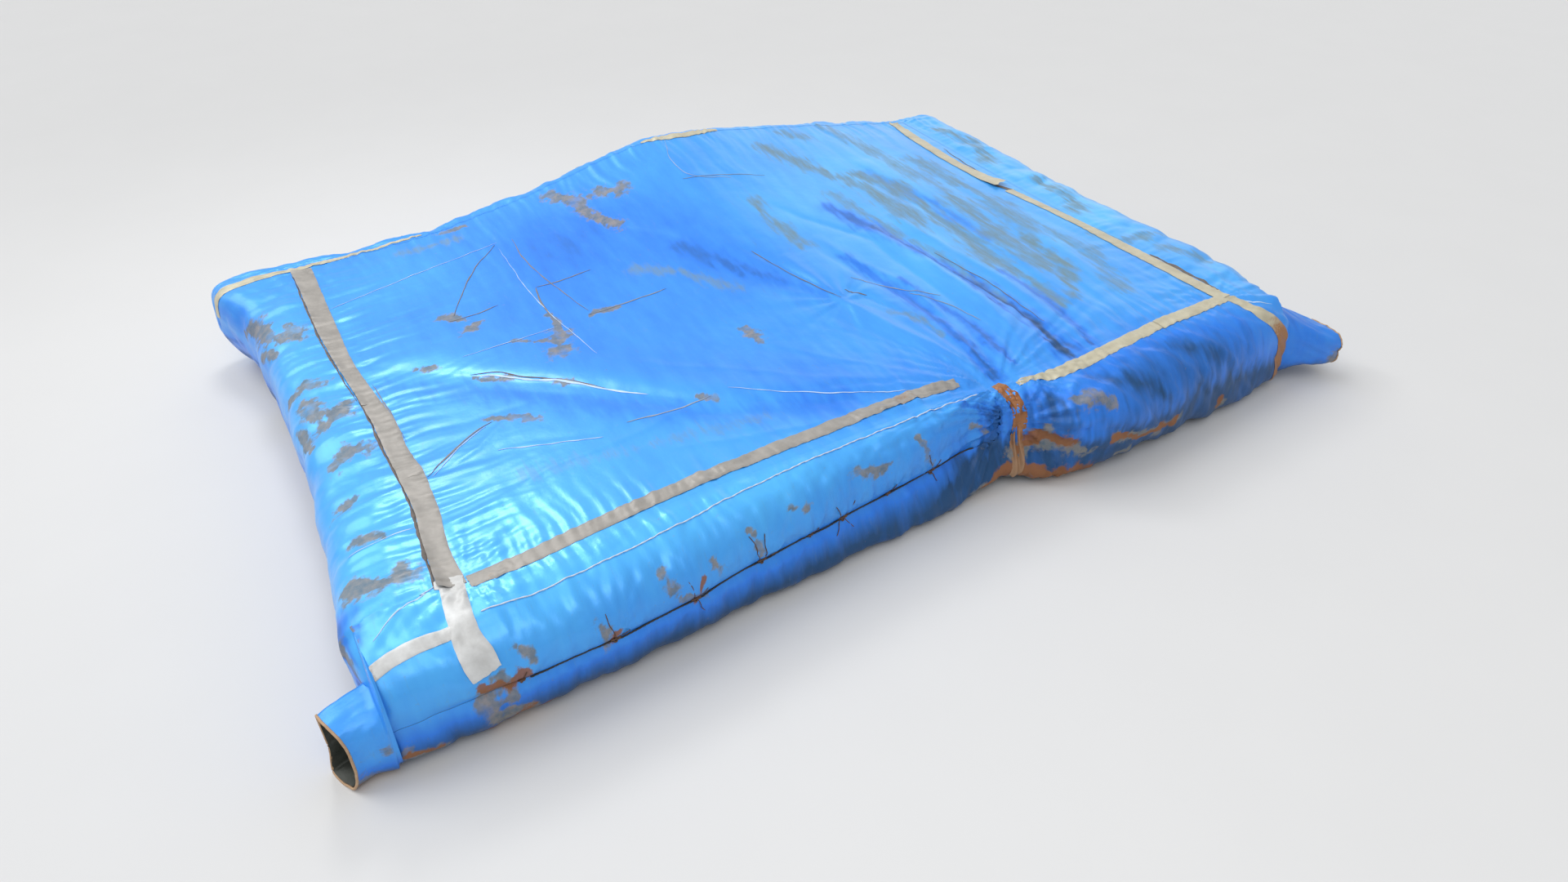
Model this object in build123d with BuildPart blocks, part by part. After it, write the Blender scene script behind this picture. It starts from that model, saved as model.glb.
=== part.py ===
"""Soft landing mat, wrapped in a folded and taped sheet.

Foam slabs lie on a bottom sheet and under a top sheet. Margin sheets turn up round the four sides and
are taped down along a rectangle on the top. Along the front the surplus sheet is a roll over a foam
bolster: its upper and lower halves are laced together with a cord on the left, a band pinches it near
the middle, and its two ends stand out as ears, the left one an open sleeve.

Origin: the middle of the underside. +X runs along the front, +Y to the back, +Z up. Millimetres.
"""
import os
from math import hypot

from build123d import *

os.makedirs("parts", exist_ok=True)

# ---- driving dimensions ----
height = 300.0  # top of the mat away from its crown
sheet = 4.0  # thickness of a folded margin, and of every sheet solid
gap = 0.5  # clearance between stacked pieces
lap = 3.0  # clearance between two sheets that meet at a bend
tape_x_left, tape_x_right = -1218.0, 1295.0  # middle lines of the taped rectangle
tape_y_front, tape_y_back = -794.0, 940.0
half_tape = 24.0
tape_off, tape_top = 0.3, 2.3  # underside and top face of a tape above the sheet
cinch_x = 320.0  # the pinch divides the front roll and the foam here
slab_split = 200.0  # height where the base slabs end and the top slabs begin
foam_end = 100.0  # foam stops this far inside the widest line of an end
cord_radius, string_radius = 2.5, 1.5
ear_tip_x, right_tip_x = -1585.0, 1668.0

# height of the crown above the mat along its back edge, as (x, rise), and how much of it is left at y
crown_rise = [(-1218, 4), (-760, 10), (-380, 66), (-44, 168), (127, 198), (302, 185), (867, 102), (1295, 30)]
crown_fade = [(-794, 0.0), (-200, 0.15), (400, 0.5), (940, 1.0)]
# how far the front roll stands out from the front tape line, as (x, depth)
roll_depth = [(-1460, 196), (-1165, 214), (-777, 198), (-512, 154), (-247, 127), (71, 80), (300, 66),
              (400, 110), (500, 196), (850, 226), (1300, 190), (1460, 180)]
# widest line of the left end, drawn in at its middle, as (y, x), and of the right end
left_end = [(-794, -1495), (-406, -1458), (88, -1433), (618, -1470), (940, -1512)]
right_end = [(-794, 1492), (940, 1492)]


def along(table, at):
    """Value of a table of (place, value) pairs at a place, on straight lines between its rows."""
    if at <= table[0][0]:
        return table[0][1]
    for (low, low_value), (high, high_value) in zip(table, table[1:]):
        if at <= high:
            return low_value + (high_value - low_value) * (at - low) / (high - low)
    return table[-1][1]


def places(table, first, last):
    """The places in a table between two ends, with the ends themselves."""
    return [first] + [place for place, _ in table if first < place < last] + [last]


def top_z(x, y):
    return height + along(crown_rise, x) * along(crown_fade, y)


def offset_chain(points, distance):
    """An open chain moved sideways, outwards when the distance is positive."""
    normals = []
    for (a, b), (c, d) in zip(points, points[1:]):
        length = hypot(c - a, d - b)
        normals.append(((d - b) / length, (a - c) / length))
    moved = []
    for i, (u, v) in enumerate(points):
        before, after = normals[max(i - 1, 0)], normals[min(i, len(normals) - 1)]
        scale = distance / (1 + before[0] * after[0] + before[1] * after[1])
        moved.append((u + (before[0] + after[0]) * scale, v + (before[1] + after[1]) * scale))
    return moved


# ---- outlines of the wrap, each a chain with the outside on its left as it runs ----
def top_chain(x):
    """Across the top at x, from the back tape line to the front one, as (y, z)."""
    ys = places(crown_fade, tape_y_front + lap, tape_y_back - lap)
    return [(y, top_z(x, y)) for y in reversed(ys)]


def front_chain(x):
    """Over the front roll at x, from the tape line down to the floor, as (y, z)."""
    depth = along(roll_depth, x)
    steps = [(0.0, 300), (0.5, 292), (0.85, 248), (1.0, 160), (0.93, 60), (0.65, 4)]
    return [(tape_y_front - share * depth, z) for share, z in steps]


def back_chain(x):
    """Up the back at x, from the floor to the back tape line, as (y, z); it draws in at both corners."""
    crest = top_z(x, tape_y_back)
    corner = along([(-1500, 0.2), (-1400, 1.0), (1385, 1.0), (1482, 0.2)], x)
    low, high = 4 + 56 * (1 - corner), crest - 45 * (1 - corner)
    steps = [(20, low), (72, low + 56), (88, 160), (75, high - 55), (45, high - 10), (0, high)]
    return [(tape_y_back + reach * corner, z) for reach, z in steps]


def end_steps(line, inward, tape_x, y):
    widest = along(line, y)
    steps = [(95, 296), (30, 250), (0, 160), (20, 60), (80, 4)]
    return [(tape_x, top_z(tape_x, y))] + [(widest + inward * reach, z) for reach, z in steps]


def left_chain(y):
    """Round the left end at y, from the tape line down to the floor, as (x, z)."""
    return end_steps(left_end, 1, tape_x_left, y)


def right_chain(y):
    """Round the right end at y, from the floor up to the tape line, as (x, z)."""
    return end_steps(right_end, -1, tape_x_right, y)[::-1]


def point_at(start, end, share):
    return (start[0] + (end[0] - start[0]) * share, start[1] + (end[1] - start[1]) * share)


def trim(chain, first, last):
    """Part of a chain, from `first` to `last`, both counted in whole and part steps along it."""
    ends = [point_at(chain[int(at)], chain[min(int(at) + 1, len(chain) - 1)], at - int(at))
            for at in (first, last)]
    return [ends[0]] + [p for i, p in enumerate(chain) if first < i < last] + [ends[1]]


# ---- helpers that make and save solids ----
def save(piece, label):
    piece.part.label = label
    export_step(piece.part, f"parts/{label}.step")


def across_x(x):
    return Plane.YZ.offset(x)


def across_y(y):
    return Plane.XZ.offset(-y)


def loft_outlines(outlines):
    """A straight-sided loft through (plane, closed outline) pairs."""
    with BuildPart() as body:
        for plane, outline in outlines:
            with BuildSketch(plane):
                with BuildLine():
                    Polyline(*outline, close=True)
                make_face()
        loft(ruled=True)
    return body


def strip(label, plane_at, chain_at, stations, inner=-sheet, outer=0.0):
    """A thin sheet that follows one chain through its stations."""
    outlines = []
    for station in stations:
        chain = chain_at(station)
        outline = offset_chain(chain, outer) + offset_chain(chain, inner)[::-1]
        outlines.append((plane_at(station), outline))
    save(loft_outlines(outlines), label)


def tape(label, plane_at, chain_at, stations):
    strip(label, plane_at, chain_at, stations, tape_off, tape_top)


# ---- foam ----
foam_top = height - 2 * sheet - gap


def foam_slab(label, low, high, x_split, line, inward):
    """One foam slab: straight at the split, drawn in with the wrap at its outer end."""
    ends = places(line, tape_y_front + gap, tape_y_back - 10)
    outer = [(along(line, y) + inward * foam_end, y) for y in ends]
    with BuildPart() as slab:
        with BuildSketch(Plane.XY.offset(low)):
            with BuildLine():
                Polyline(*outer, (x_split, ends[-1]), (x_split, ends[0]), close=True)
            make_face()
        extrude(amount=high - low)
    save(slab, label)


foam_sides = [("left", left_end, 1, cinch_x - gap), ("right", right_end, -1, cinch_x + gap)]
for side, line, inward, x_split in foam_sides:
    foam_slab(f"foam_base_{side}", sheet + gap, slab_split - gap, x_split, line, inward)
    foam_slab(f"foam_top_{side}", slab_split, foam_top - gap, x_split, line, inward)


pad_y_front, pad_y_back = -200.0, tape_y_back - 12
pad_xs = places(crown_rise, -760, 1270)


def pad_outline(x):
    """The crown pad at x: flat below, and the wrap's own line above."""
    upper = [(y, top_z(x, y) - sheet - 2 * gap) for y in (pad_y_back, 400, pad_y_front)]
    return [(pad_y_back, foam_top)] + upper + [(pad_y_front, foam_top)]


save(loft_outlines([(across_x(x), pad_outline(x)) for x in pad_xs]), "crown_pad")


def bolster_outline(x):
    wall = tape_y_front - gap
    inner = offset_chain(front_chain(x), -sheet - gap)[1:-1]
    return [(wall, foam_top - gap)] + inner + [(wall, sheet + 2 * gap)]


for side, first, last in [("left", -1440, cinch_x - 20), ("right", cinch_x + 20, 1440)]:
    outlines = [(across_x(x), bolster_outline(x)) for x in places(roll_depth, first, last)]
    save(loft_outlines(outlines), f"front_bolster_{side}")


# ---- wrap: bottom and top sheets ----
margin_ys = places(left_end, tape_y_front + lap, tape_y_back - lap)
with BuildPart() as bottom_sheet:
    with BuildSketch(Plane.XY):
        with BuildLine():
            left_line = [(left_chain(y)[-1][0], y) for y in reversed(margin_ys)]
            front_line = [(x, front_chain(x)[-1][0]) for x, _ in roll_depth]
            right_line = [(right_chain(y)[0][0], y) for y in (margin_ys[0], margin_ys[-1])]
            back_line = [(x, back_chain(x)[0][0]) for x in (1385, -1400)]
            Polyline(*left_line, *front_line, *right_line, *back_line, close=True)
        make_face()
    extrude(amount=sheet)
save(bottom_sheet, "bottom_sheet")

top_xs = places(crown_rise, tape_x_left + lap, tape_x_right - lap)
strip("top_sheet", across_x, top_chain, top_xs)

# ---- wrap: the margins round the four sides ----
fade_ys = places(crown_fade, margin_ys[0], margin_ys[-1])
left_ys = sorted(set(margin_ys + fade_ys))
strip("left_margin_sheet", across_y, left_chain, left_ys)
strip("right_margin_sheet", across_y, right_chain, fade_ys)
back_xs = [-1500, -1400] + [x for x, _ in crown_rise] + [1385, 1482]
strip("back_margin_sheet", across_x, back_chain, back_xs)

# ---- wrap: the front roll, in two laced halves on the left and one piece on the right ----
seam_step = 3  # the widest point of the roll, where the lacing runs
left_roll_xs = places(roll_depth, -1460, cinch_x - gap)
right_roll_xs = places(roll_depth, cinch_x + gap, 1460)
strip("front_upper_sheet", across_x, lambda x: trim(front_chain(x), 0, seam_step - 0.04), left_roll_xs)
strip("front_lower_sheet", across_x, lambda x: trim(front_chain(x), seam_step + 0.04, 5), left_roll_xs)
strip("front_right_sheet", across_x, front_chain, right_roll_xs)


# ---- wrap: the ears at both ends of the front roll ----
def box_outline(front, back, low, high, chamfer):
    return [(back, high), (front + chamfer, high), (front, high - chamfer), (front, low + chamfer),
            (front + chamfer, low), (back, low)]


def shrink(outline):
    """A closed outline of straight edges, drawn in by the sheet's thickness."""
    closed = outline[-2:] + outline + outline[:2]
    return offset_chain(closed, -sheet)[2:-2]


end_wall = box_outline(-990, tape_y_front, 4, 296, 40)
sleeve_root = box_outline(-1000, -880, 22, 205, 25)
sleeve_tip = box_outline(-1022, -885, 14, 195, 25)
root_x = -1460 - gap
wall_x = root_x - sheet

sleeve_ends = [(root_x, sleeve_root), (ear_tip_x, sleeve_tip)]
sleeve = loft_outlines([(across_x(x), outline) for x, outline in sleeve_ends])
sleeve_bore = loft_outlines([(across_x(x), shrink(outline)) for x, outline in sleeve_ends])
end_plate = loft_outlines([(across_x(root_x), end_wall), (across_x(wall_x), end_wall)])
with BuildPart() as front_left_ear:
    add(end_plate.part)
    add(sleeve.part)
    add(sleeve_bore.part, mode=Mode.SUBTRACT)
save(front_left_ear, "front_left_ear")

pocket = [(1460 + gap, box_outline(-985, tape_y_front, 4, 296, 45)),
          (1530, box_outline(-1000, -820, 30, 240, 35)),
          (right_tip_x, box_outline(-1025, -900, 70, 165, 15))]
with BuildPart() as front_right_ear:
    add(loft_outlines([(across_x(x), outline) for x, outline in pocket]).part)
    inside = [(across_x(x - (sheet if x == right_tip_x else 0)), shrink(outline)) for x, outline in pocket]
    add(loft_outlines(inside).part, mode=Mode.SUBTRACT)
save(front_right_ear, "front_right_ear")


# ---- tapes along the left and right lines ----
def left_tape_chain(y):
    over_margin = point_at(*left_chain(y)[:2], half_tape / 120)
    inner_x = tape_x_left + half_tape
    return [(inner_x, top_z(inner_x, y)), (tape_x_left, top_z(tape_x_left, y)), over_margin]


def right_tape_chain(y):
    over_margin = point_at(*right_chain(y)[:-3:-1], half_tape / 102)
    inner_x = tape_x_right - half_tape
    return [over_margin, (tape_x_right, top_z(tape_x_right, y)), (inner_x, top_z(inner_x, y))]


front_gap = tape_y_front + half_tape + 1  # the side tapes stop here, beside the front tapes
back_gap = tape_y_back - lap
left_tapes = [("back", 150, back_gap), ("middle", -250, 149), ("front", front_gap, -251)]
for place, first, last in left_tapes:
    stations = sorted(set(places(crown_fade, first, last) + places(left_end, first, last)))
    tape(f"left_tape_{place}", across_y, left_tape_chain, stations)
right_tapes = [("back", 330, back_gap), ("front", front_gap, 329)]
for place, first, last in right_tapes:
    tape(f"right_tape_{place}", across_y, right_tape_chain, places(crown_fade, first, last))


# ---- tapes along the front line ----
def front_tape_chain(x):
    inner_y = tape_y_front + half_tape
    return [(inner_y, top_z(x, inner_y))] + trim(front_chain(x), 0, 0.24)


front_tapes = [("left", -1242, 250), ("right_inner", 375, 1019), ("right_outer", 1020, 1319)]
for place, first, last in front_tapes:
    stations = sorted(set(places(crown_rise, first, last) + places(roll_depth, first, last)))
    tape(f"front_tape_{place}", across_x, front_tape_chain, stations)

# ---- tapes that run down the front, and the band that pinches it ----
tape("left_tape_down", across_x, lambda x: trim(front_chain(x), 0.3, 2.9), [-1258, -1165, -1160])
tape("right_tape_down", across_x, lambda x: trim(front_chain(x), 0.3, 4.0), [1290, 1300, 1338])
tape("left_end_tape", across_x, lambda x: trim(front_chain(x), 1.0, 1.75), [-1455, -1262])
tape("cinch_band", across_x, lambda x: trim(front_chain(x), 0.0, 4.2), [302, 338])

# ---- tapes on the back edge ----
for label, first, last in [("back_edge_tape", -1480, -900), ("crown_tape", 127, 302)]:
    stations = sorted(set(places([(x, 0) for x in back_xs], first, last)))
    tape(label, across_x, lambda x: trim(back_chain(x), 4.0, 5.0), stations)


# ---- lacing ----
def held_cord(label, radius, points):
    """A round cord pulled tight from point to point, with an arc at each turn of its route."""
    runs = [(b - a).length for a, b in zip(points, points[1:])]
    radii = [0.45 * min(pair) for pair in zip(runs, runs[1:])]
    with BuildPart() as cord:
        with BuildLine() as route:
            FilletPolyline(*points, radius=radii)
        with BuildSketch(Plane(origin=route.line @ 0, z_dir=route.line % 0)):
            Circle(radius)
        sweep()
    length = sum(edge.length for edge in route.edges())
    print(label, "length", round(length), "bend radii", [round(r) for r in radii])
    save(cord, label)


seam_xs = places(roll_depth, -1150, 250)
seam_route = [Vector(x, front_chain(x)[seam_step][0] - cord_radius - 1, 160) for x in seam_xs]
held_cord("seam_cord", cord_radius, seam_route)

string_route = []
for x in seam_xs:
    y, z = offset_chain(front_chain(x), string_radius + 1)[1]
    string_route.append(Vector(x, y, z))
held_cord("fold_string", string_radius, string_route)

stitch_xs = [-1080, -940, -790, -610, -420, -200, 0]
stitch_radius, stitch_share = 2.0, (2.35, 2.9)
with BuildPart() as seam_stitches:
    for x in stitch_xs:
        line = offset_chain(front_chain(x), stitch_radius + gap)
        start, end = (Vector(x, *trim(line, 0, share)[-1]) for share in stitch_share)
        with BuildSketch(Plane(origin=start, z_dir=end - start)):
            Circle(stitch_radius)
        extrude(amount=(end - start).length)
save(seam_stitches, "seam_stitches")
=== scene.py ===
"""The looks of the wrapped landing mat: its film, tapes, lacing, ears and foam, around the CAD frame.

The wrap is worked out on a flat plan (a, b), in metres: a is x and b is y on top of the mat, and past a
tape line the film goes on down the side, so b also counts down the front roll. One field of folds is
drawn on that plan, and every sheet and tape is a grid on it, lifted off the rounded mat by the field.
"""

import math

import bpy
import numpy as np
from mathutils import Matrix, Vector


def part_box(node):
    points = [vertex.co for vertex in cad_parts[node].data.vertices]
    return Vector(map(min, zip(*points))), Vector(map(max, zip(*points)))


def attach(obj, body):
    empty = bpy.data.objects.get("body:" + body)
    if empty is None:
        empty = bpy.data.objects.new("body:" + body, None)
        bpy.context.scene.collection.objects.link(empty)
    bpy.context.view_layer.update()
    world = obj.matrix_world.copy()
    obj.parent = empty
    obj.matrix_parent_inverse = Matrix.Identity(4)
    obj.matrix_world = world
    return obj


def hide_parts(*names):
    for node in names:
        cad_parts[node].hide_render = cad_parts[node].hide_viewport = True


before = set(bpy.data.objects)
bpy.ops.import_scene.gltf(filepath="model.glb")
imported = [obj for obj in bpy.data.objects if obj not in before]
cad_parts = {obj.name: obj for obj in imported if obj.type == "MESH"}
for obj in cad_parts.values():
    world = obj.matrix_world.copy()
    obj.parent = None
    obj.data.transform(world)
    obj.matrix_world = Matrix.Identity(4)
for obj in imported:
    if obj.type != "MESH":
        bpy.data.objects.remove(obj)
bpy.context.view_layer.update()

# ---- places taken from the frame ----
top_low, top_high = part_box("top_sheet")
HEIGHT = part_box("front_right_sheet")[1].z  # of the flat part of the mat
XL, XR, YF, YB = top_low.x, top_high.x, top_low.y, top_high.y  # the left, right, front and back tape lines
CREST = top_high.z - HEIGHT  # how much higher the crown is
RIGHT_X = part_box("right_margin_sheet")[1].x
BACK_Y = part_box("back_margin_sheet")[1].y
ROLL_LEFT, ROLL_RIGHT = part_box("front_upper_sheet")[0].x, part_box("front_right_sheet")[1].x
CINCH_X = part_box("cinch_band")[0].x + 0.02  # the middle of the band
EAR_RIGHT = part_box("front_right_ear")[1].x
GRID = 0.008  # spacing of the film's mesh
TAPE_STEP, CORD_STEP, PAINTED_LINE_STEP = 0.005, 0.003, 0.006  # spacing along tapes, cords and the painted lines of light and shade
LOWEST = 0.0025  # height above the floor below which no film goes
ROLL_PLAN = 0.45  # length on the plan from the front tape line down to the floor

# ---- shape of the mat, as smooth curves through a few points ----
CROWN_RISE = [(-1.22, 0.05), (-0.95, 0.07), (-0.76, 0.15), (-0.38, 0.47), (-0.05, 0.86), (0.06, 0.96),
              (0.14, 0.99), (0.30, 0.95), (0.60, 0.72), (0.87, 0.51), (1.30, 0.15)]
CROWN_FADE = [(0.0, 0.0), (0.34, 0.14), (0.68, 0.48), (1.0, 1.0)]
RIDGE_X = [(0.0, 0.28), (0.2, 0.17), (0.5, 0.07), (1.0, 0.0)]
ROLL_DEPTH = [(-1.46, 0.196), (-1.165, 0.214), (-0.777, 0.198), (-0.512, 0.156), (-0.247, 0.127),
              (0.071, 0.086), (0.25, 0.066), (0.33, 0.074), (0.41, 0.120), (0.50, 0.190), (0.85, 0.224),
              (1.30, 0.190), (1.46, 0.180)]
LOW_DEPTH = [(-1.46, 0.208), (-1.05, 0.212), (-0.81, 0.200), (-0.55, 0.184), (-0.26, 0.171), (0.06, 0.156),
             (0.23, 0.134), (0.34, 0.132), (0.41, 0.168), (0.50, 0.208), (0.88, 0.206), (1.30, 0.204),
             (1.46, 0.19)]
LEFT_WIDTH = [(-0.80, 0.277), (-0.41, 0.238), (0.09, 0.208), (0.40, 0.208), (0.62, 0.214), (0.80, 0.232),
              (0.94, 0.284)]
RIGHT_WIDTH = [(-0.80, 0.207), (-0.62, 0.240), (-0.30, 0.236), (0.10, 0.222), (0.50, 0.210), (0.94, 0.207)]


def curve(table, at):
    """Values of a smooth curve through the (place, value) rows of a table."""
    places, values = np.array(table, float).T
    slopes = np.gradient(values, places)
    at = np.clip(at, places[0], places[-1])
    i = np.clip(np.searchsorted(places, at) - 1, 0, len(places) - 2)
    step = places[i + 1] - places[i]
    t = (at - places[i]) / step
    rise = values[i + 1] - values[i]
    bend = t * (1 - t) * ((1 - t) * (slopes[i] * step - rise) - t * (slopes[i + 1] * step - rise))
    return values[i] + rise * t + bend


def smooth_step(low, high, at):
    """0 at low and before it, rising smoothly to 1 at high and past it."""
    t = np.clip((at - low) / (high - low), 0, 1)
    return t * t * (3 - 2 * t)


def bell(far, width):
    """1 in the middle, falling to 0 past a width on either side."""
    return np.exp(-((far / width) ** 2))


def crown(x, y):
    """Height of the crown above the mat: it is highest at the back, and its ridge runs to the pinch."""
    depth = np.clip((y - YF) / (YB - YF), 0, 1)
    return CREST * curve(CROWN_RISE, x - curve(RIDGE_X, depth)) * curve(CROWN_FADE, depth)


LAST_TURN = 1.25  # how far below its widest a side turns in before it meets the floor, in radians
PROFILE_POINTS = 300


def profile_table(roundness, last_turn=LAST_TURN, low_roundness=None):
    """A rounded side from its top down: turn, outward share, height share and length so far."""
    turn = np.linspace(math.pi / 2, -last_turn, PROFILE_POINTS)
    power = np.where(turn < 0, 2 / (low_roundness or roundness), 2 / roundness)
    out = np.abs(np.cos(turn)) ** power
    up = np.sign(np.sin(turn)) * np.abs(np.sin(turn)) ** power
    length = np.concatenate([[0], np.cumsum(np.hypot(np.diff(out), np.diff(up) * 0.6))])
    return turn, out, up, length / length[-1]


def side_profile(t, roundness, last_turn=LAST_TURN, low_roundness=None):
    """Outward share and height share of a rounded side at shares t of its length."""
    _, out, up, length = profile_table(roundness, last_turn, low_roundness)
    t = np.clip(t, 0, 1)
    return np.interp(t, length, out), 0.5 + 0.5 * np.interp(t, length, up)


ROLL_ROUND, END_ROUND, FRONT_END_ROUND = 2.6, 3.4, 6.0  # how square the rounded sides are
ROLL_LOW_ROUND = 5.0  # the lower half of the front roll is squarer, where it stands on the floor


def roll_b(turned):
    """The plan's b on the roll at a share of its half turn: 0 on the tape line, 0.5 at its widest."""
    turn, _, _, length = profile_table(ROLL_ROUND, low_roundness=ROLL_LOW_ROUND)
    share = np.interp(math.pi * (turned - 0.5), -turn, length)
    return YF - ROLL_PLAN * float(share)


MARGIN_PLAN = 0.52  # length on the plan of a margin, from its tape line to the floor
FRONT_CLOSE = 0.14  # how far the front end of a margin runs on past the front tape line
PINCH_DEEP, PINCH_WIDE, PINCH_LONG = 0.014, 0.11, 0.16  # the dip under the cinch band, and its reach


def pinch_dip(x, y):
    """How far the cinch band pulls the film down near the front tape line."""
    return PINCH_DEEP * np.exp(-(((x - CINCH_X) / PINCH_WIDE) ** 2) - ((y - YF) / PINCH_LONG) ** 2)


def between(first, second, share):
    """A pair of numbers a share of the way from the first pair to the second."""
    return [one + (other - one) * share for one, other in zip(first, second)]


def wrap_base(a, b):
    """The smooth mat under plan points of the top and of the left, right and back margins."""
    x, y = np.clip(a, XL, XR), np.clip(b, YF, YB)
    side = np.sign(a - x)
    over_x, over_y = np.abs(a - x) / MARGIN_PLAN, np.maximum(b - y, 0) / MARGIN_PLAN
    t = np.maximum(over_x, over_y)
    share = np.minimum(over_x, over_y) / np.maximum(t, 1e-9)
    corner = (1 + share ** 8) ** -0.125
    square = side_profile(t, FRONT_END_ROUND)
    at_back = smooth_step(-0.30, 0, y - YB)
    end_square = np.maximum(1 - smooth_step(0, 0.30, y - YF), np.where(side > 0, 0.85, at_back))
    end_out, end_up = between(side_profile(t, END_ROUND), square, end_square)
    back_out, back_up = between(side_profile(t, ROLL_ROUND), square, smooth_step(XL + 0.40, XL, a))
    up = end_up + (back_up - end_up) * smooth_step(-0.3, 0.3, over_y - over_x)
    width = np.where(side < 0, curve(LEFT_WIDTH, y), curve(RIGHT_WIDTH, y))
    closing = np.maximum(YF - b, 0)
    taper = 1 - 0.16 * (closing / FRONT_CLOSE) ** 2
    # the low part of the left side is tucked in towards the back
    tuck = 0.17 * smooth_step(0.50, 0.94, y) * smooth_step(0.50, 0.0, up) * (side < 0)
    reach = end_out * corner * np.where(over_x >= over_y, 1, share) * taper * (1 - tuck)
    back_reach = back_out * corner * np.where(over_y >= over_x, 1, share)
    top = HEIGHT + crown(x, y) - pinch_dip(x, y)
    z = np.where(t > 0, top * up, top) * (1 - 0.25 * (closing / FRONT_CLOSE) ** 2)
    z = z - 0.006 * smooth_step(0, 0.02, closing)
    return np.stack([x + side * width * reach, y - closing + (BACK_Y - YB) * back_reach, z], -1)


def roll_base(a, b):
    """The smooth front roll under plan points: a is x, and b counts down from the front tape line."""
    out, up = side_profile((YF - b) / ROLL_PLAN, ROLL_ROUND, low_roundness=ROLL_LOW_ROUND)
    left_share = np.clip((XL - a) / curve(LEFT_WIDTH, YF), 0, 1)
    right_share = np.clip((a - XR) / (RIGHT_X - XR), 0, 1)
    end_up = (1 - np.maximum(left_share, right_share) ** FRONT_END_ROUND) ** (1 / FRONT_END_ROUND)
    pinch = bell(a - CINCH_X, 0.10)
    top = HEIGHT * (0.5 + 0.5 * end_up) - PINCH_DEEP * bell(a - CINCH_X, PINCH_WIDE)
    bottom = 0.004 + 0.030 * pinch + 0.012 * right_share ** 2
    low = smooth_step(0.5, 0.0, up)
    depth = (curve(ROLL_DEPTH, a) * (1 - low) + curve(LOW_DEPTH, a) * low) * (1 - 0.10 * right_share ** 2)
    return np.stack([a + 0 * b, YF - depth * out, bottom + (top - bottom) * up], -1)


def mat_base(a, b):
    """The whole smooth mat: the roll in front of the front tape line, and the wrap behind it."""
    return np.where((b < YF)[..., None], roll_base(a, b), wrap_base(a, b))


# ---- noise on the plan ----
def noise(x, y, seed):
    """Smooth gradient noise, about -0.7 to 0.7, that repeats far outside the mat."""
    angle = np.random.default_rng(seed).uniform(0, 2 * math.pi, (256, 256))
    xi, yi = np.floor(x).astype(int), np.floor(y).astype(int)
    xf, yf = x - xi, y - yi
    u, v = xf ** 3 * (xf * (6 * xf - 15) + 10), yf ** 3 * (yf * (6 * yf - 15) + 10)

    def corner(i, j):
        turn = angle[(xi + i) & 255, (yi + j) & 255]
        return np.cos(turn) * (xf - i) + np.sin(turn) * (yf - j)

    near = corner(0, 0) + u * (corner(1, 0) - corner(0, 0))
    far = corner(0, 1) + u * (corner(1, 1) - corner(0, 1))
    return near + v * (far - near)


def creased(n, soft=0.03):
    """Noise turned to rounded swells with sharp creases between them, about -0.3 to 1."""
    return np.sqrt(n * n + soft * soft) * 2.6 - 0.35


def wandered(a, b, coarse, fine, seed):
    """Plan points moved about by two noises, each given as how far it moves them and its grain."""
    moved = []
    for at, first in ((a, seed), (b, seed + 2)):
        shift = coarse[0] * noise(a * coarse[1], b * coarse[1], first)
        moved.append(at + shift + fine[0] * noise(a * fine[1], b * fine[1], first + 1))
    return moved


def line_distance(a, b, points):
    """Distance from plan points to a broken line, and how far along it they are, from 0 to 1."""
    best = np.full(np.shape(a), 9.0)
    where = np.zeros(np.shape(a))
    for i, ((x0, y0), (x1, y1)) in enumerate(zip(points, points[1:])):
        run = (x1 - x0) ** 2 + (y1 - y0) ** 2
        t = np.clip(((a - x0) * (x1 - x0) + (b - y0) * (y1 - y0)) / run, 0, 1)
        d = np.hypot(a - x0 - t * (x1 - x0), b - y0 - t * (y1 - y0))
        where = np.where(d < best, (i + t) / (len(points) - 1), where)
        best = np.minimum(best, d)
    return best, where


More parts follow.
